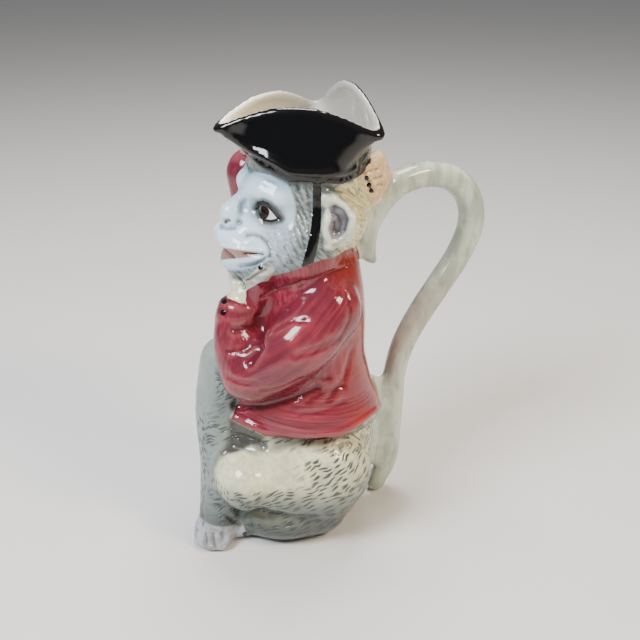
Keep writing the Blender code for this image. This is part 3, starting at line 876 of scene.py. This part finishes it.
# %% Outlines in the picture
MASK = [(242, 170), (247, 174), (255, 172), (265, 173), (276.5, 178), (287, 183), (293, 195), (296, 209),
        (294, 223), (289, 232), (282, 245), (276, 255), (266, 262), (252, 268), (236, 270.5), (222, 270),
        (190, 270), (190, 160), (236, 160)]
EYE = [(260, 206), (263, 205), (267, 207), (272, 212), (277.5, 219), (271, 220), (264.5, 219.5),
       (261, 213)]
UPPER_LID = [(257, 208), (259, 204), (263, 202.8), (268.5, 205.2), (274, 211), (280, 218.5)]
LOWER_LID = [(279, 219.2), (271, 221), (263.5, 219.8), (259, 212)]
IRIS = (261.5, 212.5)
PUPIL = (262, 212.5)
PUPIL_RADIUS = 3.6
IRIS_RADIUS = 8.0
CHEEK = [(262, 230), (275, 226), (293, 224), (297, 240), (289, 257), (277, 268), (262, 271), (271, 259),
         (272, 249), (269, 240)]
MOUTH = [(208, 250), (223, 247.5), (236, 249.5), (250, 251.5), (262, 255), (250, 257), (238, 258),
         (222, 260), (208, 260)]
NOSTRIL = (226, 222)
NOSTRIL_RADIUS = 2.0
STRAP = [(317, 178), (317, 210), (316, 225), (314, 240), (311, 252), (307, 266)]
STRAP_HALF_WIDTH = (4.0, 5.4)
EAR_BOWL = [(328, 207), (336, 203.5), (345, 209), (350, 219), (347, 231), (339, 240), (331, 240),
            (328, 228), (331, 217)]
SHADE_UNDER_HEM = [(214, 421), (233, 419), (250, 428), (266, 436), (262, 441), (237, 452), (222, 455), (212, 440)]
INDEX_NAIL = (260.5, 267.7)
FINGER_NAILS = [(363.4, 168.6), (366.7, 178), (369, 185), (371.5, 191)]
TOE_NAIL = (245, 534)
NAIL_RADIUS = 2.6
BUTTON_RADIUS = 3.2

# %% A border that goes round the body
def turn_of(points):
    """The angle round the body from the front, alike on both sides."""
    return np.arctan2(np.abs(points[:, 0]), HAT_MIDDLE[1] - points[:, 1])


def height_of(pixels, back_height, points):
    """The height of a line drawn in the picture, carried round to the back, at each point's turn."""
    tree = clay_tree(pitcher)
    found = np.array([seen_point(tree, pixel) for pixel in pixels])
    turns = np.append(turn_of(found), math.pi)
    heights = np.append(found[:, 2], back_height)
    order = np.argsort(turns)
    return np.interp(turn_of(points), turns[order], heights[order])


HEEL_OF_HAND = 246
BACK_OF_HAT = 218
BACK_OF_NECK = 168
BACK_OF_HEM = 67
HAT_REACH = 57.5
INSIDE_SKIN = 1.4
FAR_OUTSIDE = -5
FARTHEST_KEPT = 8
NEVER_CUT = 9

# %% How near each point lies to each mass
spots = read_places(pitcher)
normals = read_normals(pitcher)
x, y, z = spots.T
picture = to_picture(spots)
twin = to_picture(np.stack([np.abs(x), y, z], axis=1))

HEAD_EGGS = ("skull", "forehead", "jaw", "left cheek", "right cheek", "middle of the face",
             "muzzle", "left ear", "right ear")
HEAD_ROLLS = tuple(FACE_ROLLS) + ("left ear rim", "right ear rim")
fingers = [f"right finger {i + 1}" for i in range(len(FINGER_TIPS))]
toes = [f"right toe {i + 1}" for i in range(len(TOES))]
gaps = {
    "trunk": trunk_gap(spots),
    "left arm": nearest_gap(spots, (), ("left upper arm", "left forearm", "cuff")),
    "right arm": nearest_gap(spots, (), ("right upper arm", "right forearm")),
    "belly": nearest_gap(spots, ("belly",)),
    "high leg": nearest_gap(spots, (), ("right thigh", "right shin")),
    "low legs": nearest_gap(spots, ("haunch", "rump", "seat", "lap", "left knee"),
                            ("left thigh", "left shin")),
    "head": nearest_gap(spots, HEAD_EGGS, HEAD_ROLLS),
    "neck": nearest_gap(spots, ("neck",)),
    "left hand": nearest_gap(spots, ("left palm",), ("thumb", "index")),
    "right hand": nearest_gap(spots, ("right palm",), fingers),
    "feet": nearest_gap(spots, ("left foot", "right foot"), toes),
    "tail": nearest_gap(spots, ("tail web",), ("tail",)),
}


print("masses compared:", ", ".join(gaps))


def edge_of(*names):
    """How much nearer each point is to the named masses than to all others."""
    own = np.min([gaps[name] for name in names], axis=0)
    others = np.min([gap for name, gap in gaps.items() if name not in names], axis=0)
    return others - own


def line_depth(pixels, line, side):
    """How far each pixel lies above a line that crosses the picture, or below it for side -1."""
    across, down = np.array(line, float).T
    return side * (np.interp(pixels[:, 0], across, down) - pixels[:, 1]) / PIXELS_PER_MM


def only(place, depth):
    """A border's depth where a condition holds, and well outside elsewhere."""
    return np.where(place, depth, FAR_OUTSIDE)


# %% The jacket: neckline, cuff and hem, and the heel of the hand that lies under the collar
at_back = ramp(y, 26, 34) * ramp(np.abs(x), 24, 14)
CUFF_END = np.array((7, -37, 152.0))
CUFF_AXIS = np.array((-0.08, 0.28, 0.957))
arms = np.minimum(gaps["left arm"], gaps["right arm"])
forearm = nearest_gap(spots, (), ("left forearm", "cuff")) - nearest_gap(spots, (), ("left upper arm",))
cuff_edge = np.where(forearm < 0, -(spots - CUFF_END) @ CUFF_AXIS, NEVER_CUT)
neck = line_depth(twin, NECKLINE, -1)
neck = neck + (BACK_OF_NECK - z - neck) * at_back
jacket = edge_of("trunk", "belly", "low legs", "left arm", "right arm", "head", "neck")
jacket = np.minimum(jacket, np.maximum(neck, gaps["trunk"] - arms))
jacket = np.minimum(jacket, np.maximum(neck, gaps["head"] - arms))
heel = np.minimum(neck, (picture[:, 0] - HEEL_OF_HAND) / PIXELS_PER_MM)
heel = only((x > -5) & (y < -15) & (z > 140) & (z < 166), heel)
jacket = np.minimum(jacket, np.maximum(cuff_edge, gaps["left arm"] - gaps["trunk"]))
jacket = np.maximum(jacket, heel)
hem = line_depth(twin, HEM, 1)
jacket = np.minimum(jacket, hem + (z - BACK_OF_HEM - hem) * at_back)

# %% The hat, the inside and the strap
above_foot = z - height_of(HAT_FOOT, BACK_OF_HAT, spots)
within_reach = HAT_REACH - np.hypot(x, y - HAT_MIDDLE[1])
off_the_arm = np.minimum(gaps["right arm"], gaps["right hand"]) - 1.5
hat = np.min([above_foot, within_reach, off_the_arm], axis=0)
inside = INSIDE_SKIN - hollow_distance(spots)
facing = (np.abs(x) > 24) & (z > 155) & (z < 222)
strap_gap = line_gap(twin, np.array(STRAP, float))
strap_reach = np.interp(twin[:, 1], (180, 265), STRAP_HALF_WIDTH)
strap = only(facing & (y < 12), (strap_reach - strap_gap) / PIXELS_PER_MM)
strap = np.minimum(np.minimum(strap, edge_of("head") + 1), -jacket)

# %% The face and the ears
front = (y < 2) & (z > 150) & (z < 222)
mask = only(front, outline_depth(twin, MASK))
mask = np.minimum(mask, edge_of("head"))
face = front & (np.abs(x) > 3)
eye = only(face, outline_depth(twin, EYE))
lid = 2.0 - np.minimum(line_gap(twin, np.array(UPPER_LID)), line_gap(twin, np.array(LOWER_LID)) + 0.7)
lid = only(face, lid / PIXELS_PER_MM)
cheek = only(front, outline_depth(twin, CHEEK))
iris = only(face, spot_depth(twin, IRIS, IRIS_RADIUS))
pupil = only(face, spot_depth(twin, PUPIL, PUPIL_RADIUS))
mouth = only(front, outline_depth(twin, MOUTH))
nostril = only(front, spot_depth(twin, NOSTRIL, NOSTRIL_RADIUS))
ear = only((np.abs(x) > 29) & (z > 175) & (z < 216) & (y > 0), outline_depth(twin, EAR_BOWL))

rims = ("left ear rim", "right ear rim")
ear_edge = edge_of("head") + 2
ear_edge = np.minimum(ear_edge, 0.6 - nearest_gap(spots, ("left ear", "right ear"), rims))
# %% Painted shade under the hem, sleeves and the small black spots
# The dark patch between the hem and the thigh is painted shade
shade_under_hem_edge = only((y < -10) & (z < 95), outline_depth(picture, SHADE_UNDER_HEM))
shade_under_hem_edge = np.min([shade_under_hem_edge, 1.6 * (gaps["high leg"] - 0.8), x + 16], axis=0)
upper_sleeve = nearest_gap(spots, (), ("left upper arm",))
lower_sleeve = nearest_gap(spots, (), ("left forearm", "cuff", "right upper arm", "right forearm"))

near = normals @ (np.array(EYE_POINT) / EYE_POINT.length) > 0.1
black = np.max([hat, strap, np.minimum(pupil, eye)], axis=0)
for centre in [INDEX_NAIL, TOE_NAIL] + FINGER_NAILS:
    black = np.maximum(black, only(near & (x > -12), spot_depth(picture, centre, NAIL_RADIUS)))
for centre in BUTTONS:
    black = np.maximum(black, only(near & (y < -20), spot_depth(picture, centre, BUTTON_RADIUS)))
skin = np.maximum(edge_of("left hand", "right hand"), edge_of("feet"))

# %% All borders, stored on the mesh
borders = {
    "marks": edge_of("high leg", "low legs", "belly", "trunk"), "shin": edge_of("high leg"),
    "jacket": jacket, "sleeve": gaps["trunk"] - arms, "forearm": upper_sleeve - lower_sleeve,
    "head": edge_of("head", "neck"), "lid": lid, "cheek": cheek, "mask": mask, "eye": eye,
    "iris": iris, "mouth": mouth, "nostril": nostril, "whole_ear": ear_edge, "ear": ear,
    "skin": skin, "tail": edge_of("tail"), "belly": shade_under_hem_edge, "black": black, "inside": inside,
}


def store(name, values):
    """Keep a number for each point on the mesh, where the shader can read it."""
    stored = pitcher.data.attributes.new(name, "FLOAT", "POINT")
    stored.data.foreach_set("value", values.astype(np.float32))


for name, values in borders.items():
    store(name + "_mm", np.clip(values, -FARTHEST_KEPT, FARTHEST_KEPT))
print("borders:", ", ".join(borders))

# %% [markdown]
# ## Where glaze pools and where shade is painted
#
# Molten glaze runs off ridges and gathers in hollows, where it fires darker. On top of that the paint
# takes painted shade in hollows and creases and a painted highlight on ridges. How hollow a place
# is comes from the mesh itself: the skin is smoothed many times over, and a point that lies below
# the smoothed skin lies in a hollow.

# %% Hollows, ridges and the way each place leans, stored on the mesh
# How much each place faces up, which the fur's painted light reads
store("lean", neighbour_mean(pitcher, normals, 12)[:, 2])
HOLLOW_ROUNDS = {"fine_hollowness": 5, "wide_hollowness": 30}
for name, rounds in HOLLOW_ROUNDS.items():
    smoothed = neighbour_mean(pitcher, spots, rounds)
    depth = np.einsum("ij,ij->i", smoothed - spots, normals)
    store(name, depth)
    print(name, "from", depth.min().round(2), "to", depth.max().round(2), "mm")

# %% [markdown]
# ## Painted glaze
#
# Earthenware glaze is a lead-free glass with an IOR near 1.5, smooth enough to mirror a window,
# so the roughness is low. Under it the colours are brushed oxides. They are never even: every
# stroke is thick in its middle, thin at its ends, and all of them darken where the glaze pools,
# where they also take painted shade.

# %% One node at a time
glaze = bpy.data.materials.new("glazed earthenware")
glaze.use_nodes = True
tree = glaze.node_tree
shader = tree.nodes["Principled BSDF"]


def node(kind, inputs=None, output=0, **settings):
    """Add a node with its settings and links, and give back one of its outputs."""
    made = tree.nodes.new("ShaderNode" + kind)
    for key, value in settings.items():
        setattr(made, key, value)
    for key, value in (inputs or {}).items():
        if isinstance(value, bpy.types.NodeSocket):
            tree.links.new(value, made.inputs[key])
        else:
            made.inputs[key].default_value = value
    return made.outputs[output]


def maths(operation, a, b=0.0, c=0.0):
    """One step of arithmetic in the shader."""
    return node("Math", {0: a, 1: b, 2: c}, operation=operation)


def spread(value, low, high, new_low=0.0, new_high=1.0):
    """Turn one range smoothly into another."""
    inputs = {"Value": value, "From Min": low, "From Max": high, "To Min": new_low, "To Max": new_high}
    return node("MapRange", inputs, interpolation_type="SMOOTHSTEP")


def stain(factor, under, over):
    """Lay one colour over another."""
    return node("Mix", {0: factor, 6: under, 7: over}, output=2, data_type="RGBA")


def between(factor, low, high):
    """Run from one hex colour to another."""
    return stain(factor, linear(low), linear(high))


def tint(under, factor, share, code):
    """Lay a hex colour over paint, by a factor at a share of its strength."""
    return stain(maths("MULTIPLY", factor, share), under, linear(code))


def stored_value(name):
    """A number that is stored on the mesh."""
    return node("Attribute", output=2, attribute_name=name)


coords = node("TexCoord", output=3)
sway = node("TexNoise", {"Vector": coords, "Scale": 1 / (9 * MM), "Detail": 1.0}, output=1)
sway = node("VectorMath", {0: sway, 1: (0.5, 0.5, 0.5)}, operation="SUBTRACT")
swaying = node("VectorMath", {0: sway, 1: (5 * MM, 5 * MM, 5 * MM), 2: coords}, operation="MULTIPLY_ADD")


def turned(size_mm, angles=(0, 0, 0), start=coords):
    """The object's coordinates, turned, then counted in grains of a size in millimetres."""
    steps = node("Mapping", {"Vector": start, "Rotation": angles}, vector_type="POINT")
    scale = tuple(1 / (MM * size) for size in size_mm)
    return node("Mapping", {"Vector": steps, "Scale": scale}, vector_type="POINT")


def mottle(size_mm, detail=3.0, angles=(0, 0, 0), rough=0.5):
    """Cloudy noise whose grains have a size in millimetres."""
    inputs = {"Vector": turned(size_mm, angles), "Scale": 1.0, "Detail": detail, "Roughness": rough}
    return node("TexNoise", inputs)


def border(name, softness=0.22, wobble=0.0):
    """How far inside a colour's border a point lies, as 0 or 1 with a soft edge."""
    value = stored_value(name + "_mm")
    if wobble:
        value = maths("MULTIPLY_ADD", maths("SUBTRACT", mottle((2.5, 2.5, 2.5)), 0.5), wobble, value)
    return spread(value, -softness, softness)


fine_hollowness = stored_value("fine_hollowness")
wide_hollowness = stored_value("wide_hollowness")
# Darker in hollows and creases: pooled glaze and painted shade. Lighter on ridges: thin glaze and a painted
# highlight.
crease_pool_and_shade = spread(fine_hollowness, 0.05, 0.45)
ridge_thin_glaze_and_highlight = spread(fine_hollowness, -0.03, -0.22)
hollow_pool_and_shade = spread(wide_hollowness, 0.08, 0.85)
lean_up = spread(stored_value("lean"), -0.55, 0.55)
along_body = node("SeparateXYZ", {0: coords}, output=1)
height = node("SeparateXYZ", {0: coords}, output=2)

# %% [markdown]
# ### The paints
#
# Each paint starts from two shades and takes a few thin stains: a cloud, a darker hollow of
# pooled glaze and painted shade, a lighter ridge of thin glaze and painted highlight. The fur's
# dashes come from a Voronoi pattern, which scatters one point to a cell.
# Stretched along one axis, the spot round each point becomes a stroke as long as a brush tip's.

# %% Fur: painted light, cream where it faces up and blue-grey where it faces down, with short dark strokes
fur_cloud = spread(mottle((20, 20, 20), 2.0), 0.35, 0.65)
fur_fine = spread(mottle((5, 3, 3), 3.0), 0.35, 0.7)
# Painted light: the fur is cream where it faces up and blue-grey where it faces down
fur = between(lean_up, "5F6B68", "FDF9CC")
fur = tint(fur, fur_cloud, 0.42, "A3AA8E")
fur = tint(fur, fur_fine, 0.32, "8F9A8C")
fur = tint(fur, border("shin", 2.0), 0.80, "76868B")
# Darker near the floor: painted shade, with darker glaze there as well
fur = tint(fur, spread(height, 44 * MM, 10 * MM), 0.95, "39423E")
# Painted shade and pooled glaze in the fur's hollows and creases
fur = tint(fur, hollow_pool_and_shade, 0.80, "4A534D")
fur = tint(fur, crease_pool_and_shade, 0.60, "3C4441")


def strokes(size_mm, angles, axes, keep, width):
    """Short strokes: one in each kept cell of a stretched flat Voronoi pattern."""
    place = turned(size_mm, angles, swaying)
    parts = [node("SeparateXYZ", {0: place}, output=axis) for axis in axes]
    flat = node("CombineXYZ", dict(enumerate(parts)))
    cells = {"Vector": flat, "Scale": 1.0, "Randomness": 0.75}
    near_stroke = node("TexVoronoi", cells, output=0, voronoi_dimensions="2D")
    chance = node("TexVoronoi", cells, output=1, voronoi_dimensions="2D")
    pick_one = maths("LESS_THAN", node("SeparateColor", {0: chance}), keep)
    dark = maths("MULTIPLY", spread(near_stroke, width, width * 0.55), pick_one)
    shade = maths("MULTIPLY", spread(near_stroke, 0.75, width * 0.7), pick_one)
    return maths("MULTIPLY_ADD", dark, 0.75, maths("MULTIPLY", shade, 0.25))


side_strokes = strokes((6.0, 7.6, 1.75), (math.radians(-22), 0, 0), (1, 2), 0.80, 0.40)
front_strokes = strokes((1.7, 5.0, 4.6), (0, math.radians(20), 0), (0, 2), 0.62, 0.36)
facing_side = node("SeparateXYZ", {0: node("NewGeometry", output=1)})
side_share = spread(maths("ABSOLUTE", facing_side), 0.45, 0.75)
fur_strokes = node("Mix", {0: side_share, 2: front_strokes, 3: side_strokes})
kneecap = maths("MINIMUM", spread(along_body, -8 * MM, -28 * MM), spread(lean_up, 0.62, 0.78))
fur_strokes = maths("MULTIPLY", fur_strokes, maths("SUBTRACT", 1.0, kneecap))
fur_strokes = maths("MULTIPLY", fur_strokes, border("marks", 1.5))
fur = tint(fur, fur_strokes, 0.95, "2B3330")

# %% Head and ears
strands = spread(mottle((2.0, 5.0, 1.3), 3.0, (math.radians(35), 0, 0)), 0.3, 0.7)
head_fur = between(strands, "4C585D", "848F8D")
# Painted warm light: the head fur turns straw-yellow behind the ear
warm_lit_head_fur = between(strands, "B3A978", "F8EDB4")
head_fur = stain(spread(along_body, 4 * MM, 16 * MM), head_fur, warm_lit_head_fur)
# Painted highlight and thin glaze on the locks' ridges, painted shade and pooled glaze in their hollows and
# creases
head_fur = tint(head_fur, ridge_thin_glaze_and_highlight, 0.38, "C6CEC8")
head_fur = tint(head_fur, hollow_pool_and_shade, 0.5, "4D5653")
head_fur = tint(head_fur, crease_pool_and_shade, 0.8, "3D4543")
# Painted shade and pooled glaze in the ear's hollows; the bowl darkens with its depth as painted shade
ear_skin = between(hollow_pool_and_shade, "DFE3CC", "8F968C")
ear_bowl = between(spread(wide_hollowness, -0.2, 0.9), "857E86", "433C3D")
# Painted light: the mask grows lighter toward the tip of the nose
mask_paint = between(spread(along_body, -38 * MM, -54 * MM), "CDE3EF", "EDFCFF")
mask_cloud = spread(mottle((12, 12, 12), 2.0), 0.3, 0.7)
mask_paint = tint(mask_paint, mask_cloud, 0.35, "C6DDEA")
# Painted shade: blue-grey in the mask's hollows
mask_paint = stain(spread(wide_hollowness, -0.3, 0.9, 0.0, 0.75), mask_paint, linear("8299A8"))
mask_paint = stain(spread(stored_value("mask_mm"), 6.0, 0.0, 0.0, 0.55), mask_paint, linear("95AEC0"))
mask_paint = tint(mask_paint, crease_pool_and_shade, 0.75, "5E6E79")
cheek_paint = between(strands, "8997A0", "B9C5CA")
# Painted shade and pooled glaze in the cheek's creases
cheek_paint = stain(crease_pool_and_shade, cheek_paint, linear("5F6D74"))
# Darker deep in the mouth: painted shade and pooled glaze
mouth_paint = between(hollow_pool_and_shade, "A27A6C", "5A3A33")

# %% Tail and skin
tail_cloud = spread(mottle((9, 9, 22), 3.0), 0.35, 0.65)
tail_paint = between(tail_cloud, "D6DFCA", "AEB9A6")
tail_smear = spread(mottle((4, 4, 13), 3.0, rough=0.6), 0.52, 0.70)
tail_paint = tint(tail_paint, tail_smear, 0.45, "79867C")
rosy = maths("MULTIPLY", spread(height, 150 * MM, 125 * MM), spread(height, 85 * MM, 105 * MM))
tail_paint = tint(tail_paint, rosy, 0.35, "A9857F")
skin_cloud = spread(mottle((5, 5, 5), 3.0), 0.35, 0.65)
skin_paint = between(skin_cloud, "F8DAA8", "DFB286")
low_skin = between(skin_cloud, "B7BCC2", "8F8F93")
# Painted shade: the hand at the chin is grey-cream instead of peach
shaded_front_hand = between(skin_cloud, "C6C8BD", "9B9C92")
skin_paint = stain(spread(along_body, 10 * MM, 0.0), skin_paint, shaded_front_hand)
hand_share = spread(height, 120 * MM, 190 * MM)
skin_paint = stain(hand_share, low_skin, skin_paint)
# Painted shade and pooled glaze in the skin's hollows and creases
skin_paint = tint(skin_paint, hollow_pool_and_shade, 0.5, "83705E")
skin_crease = between(hand_share, "5B5558", "8A6A50")
skin_paint = stain(maths("MULTIPLY", crease_pool_and_shade, 0.55), skin_paint, skin_crease)

# %% Jacket: raspberry red laid on with a soft brush, along each sleeve and round the skirt
# Noise stretched along the brush, by its size in millimetres across X, Y and Z
along_arm = mottle((9, 46, 1.7), 3.0, (math.radians(-40), 0, 0))
up_arm = mottle((1.7, 1.7, 34), 3.0, (math.radians(6), 0, 0))
up_back = mottle((2.0, 2.0, 46), 3.0, (math.radians(-8), 0, 0))
round_skirt = mottle((46, 46, 1.5), 3.0, (math.radians(6), 0, 0))
trunk_brush = node("Mix", {0: spread(height, 96 * MM, 118 * MM), 2: round_skirt, 3: up_back})
arm_brush = node("Mix", {0: border("forearm", 3.0), 2: along_arm, 3: up_arm})
brush = node("Mix", {0: border("sleeve", 3.0), 2: trunk_brush, 3: arm_brush})
red = between(spread(brush, 0.30, 0.70), "661B29", "8F3441")
# Painted warm light: the red turns orange toward the back
warm_light_share = maths("MULTIPLY", spread(along_body, -2 * MM, 26 * MM), spread(mottle((22, 22, 22)), 0.3, 0.7))
red = tint(red, warm_light_share, 0.75, "A23226")
cool_share = maths("MULTIPLY", border("sleeve", 2.0), spread(mottle((16, 16, 16)), 0.35, 0.65))
red = tint(red, cool_share, 0.65, "57212F")
collar_share = maths("MULTIPLY", spread(height, 156 * MM, 170 * MM), spread(along_body, -4 * MM, 16 * MM))
red = tint(red, collar_share, 0.75, "7C2618")
# Painted shade and pooled glaze in the jacket's hollows and creases, painted highlight and thin glaze on
# its ridges
red = tint(red, hollow_pool_and_shade, 0.60, "5A1822")
red = tint(red, crease_pool_and_shade, 0.35, "4E141C")
red = tint(red, ridge_thin_glaze_and_highlight, 0.18, "C7716E")

# %% Black, white, painted shade under the hem and bare clay, and the order they are laid in
black_paint = between(maths("MULTIPLY", ridge_thin_glaze_and_highlight, 0.4), "020203", "17130F")
# Painted light and shade inside the hat: cream toward the front, grey toward the back
white_paint = between(spread(along_body, -25 * MM, 30 * MM), "F4EDD6", "A9A8A2")
white_paint = tint(white_paint, hollow_pool_and_shade, 0.5, "B9B29E")
bare_clay = between(spread(mottle((1.5, 1.5, 1.5), 4.0), 0.3, 0.7), "E4DCCB", "CFC5B2")
# Painted shade under the hem, dark brown
shade_under_hem_paint = between(spread(mottle((6, 6, 3), 2.0), 0.3, 0.7), "29241F", "453E36")


def lay(paint, rows):
    """Lay each paint over the last, inside the border of its name, with its softness and wobble."""
    for name, softness, wobble, colour in rows:
        paint = stain(border(name, softness, wobble), paint, colour)
    return paint


paint = lay(fur, [
    ("tail", 1.5, 0, tail_paint), ("belly", 1.5, 0, shade_under_hem_paint), ("head", 0.8, 0, head_fur),
    ("whole_ear", 0.8, 0, ear_skin), ("ear", 0.9, 0, ear_bowl), ("skin", 0.6, 1.0, skin_paint),
    ("mask", 0.9, 1.6, mask_paint),
])
paint = stain(maths("MULTIPLY", border("cheek", 2.2), 0.8), paint, cheek_paint)
paint = lay(paint, [("mouth", 0.35, 0, mouth_paint)])

# The eye: a grey socket, a dark lid, the white, the iris and the lid's line, in that order
lid_mm = stored_value("lid_mm")
paint = stain(spread(stored_value("eye_mm"), -7.0, -0.5, 0, 0.85), paint, linear("66716F"))
paint = stain(spread(lid_mm, -2.6, -0.6, 0, 0.80), paint, linear("3F413C"))
in_eye = border("eye", 0.18)
paint = stain(in_eye, paint, linear("D5D9DC"))
paint = stain(maths("MULTIPLY", in_eye, border("iris", 0.35)), paint, linear("2A1610"))
paint = stain(spread(lid_mm, -0.35, 0.30, 0, 0.95), paint, linear("1B1614"))
paint = lay(paint, [
    ("nostril", 0.4, 0, linear("6E4A54")), ("jacket", 0.3, 1.0, red), ("black", 0.2, 0.5, black_paint),
    ("inside", 0.3, 0.6, white_paint),
])
under = spread(height, 1.0 * MM, 0.4 * MM)
paint = stain(under, paint, bare_clay)
tree.links.new(paint, shader.inputs["Base Color"])

# %% Gloss and the feel of the brush
RIPPLE_MM = 0.10
BRUSH_MM = 0.22
STROKE_MM = 0.30
GLAZE_ROUGHNESS = 0.10
CLAY_ROUGHNESS = 0.85
GLAZE_IOR = 1.5
ripple = mottle((7, 7, 7), 2.0)
on_jacket = border("jacket", 0.3)
off_jacket = maths("SUBTRACT", 1.0, maths("MAXIMUM", on_jacket, border("black", 0.2)))
relief = maths("MULTIPLY", maths("SUBTRACT", ripple, 0.5), RIPPLE_MM)
brushed = maths("MULTIPLY", maths("SUBTRACT", brush, 0.5), on_jacket)
relief = maths("MULTIPLY_ADD", brushed, BRUSH_MM, relief)
relief = maths("MULTIPLY_ADD", maths("MULTIPLY", fur_strokes, off_jacket), -STROKE_MM, relief)
bump = node("Bump", {"Height": relief, "Strength": 1.0, "Distance": MM})
tree.links.new(bump, shader.inputs["Normal"])
roughness = spread(under, 0.0, 1.0, GLAZE_ROUGHNESS, CLAY_ROUGHNESS)
tree.links.new(roughness, shader.inputs["Roughness"])
shader.inputs["IOR"].default_value = GLAZE_IOR
print("nodes in the glaze:", len(tree.nodes))

# %% [markdown]
# ## Handing over
#
# The piece stands for the imported solid, which is hidden, rides on the only body and takes the glaze made
# above.

# %% Finish
pitcher.data.materials.clear()
pitcher.data.materials.append(glaze)
pick(pitcher)
bpy.ops.object.shade_smooth()
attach(pitcher, "root")
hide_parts(NODE)
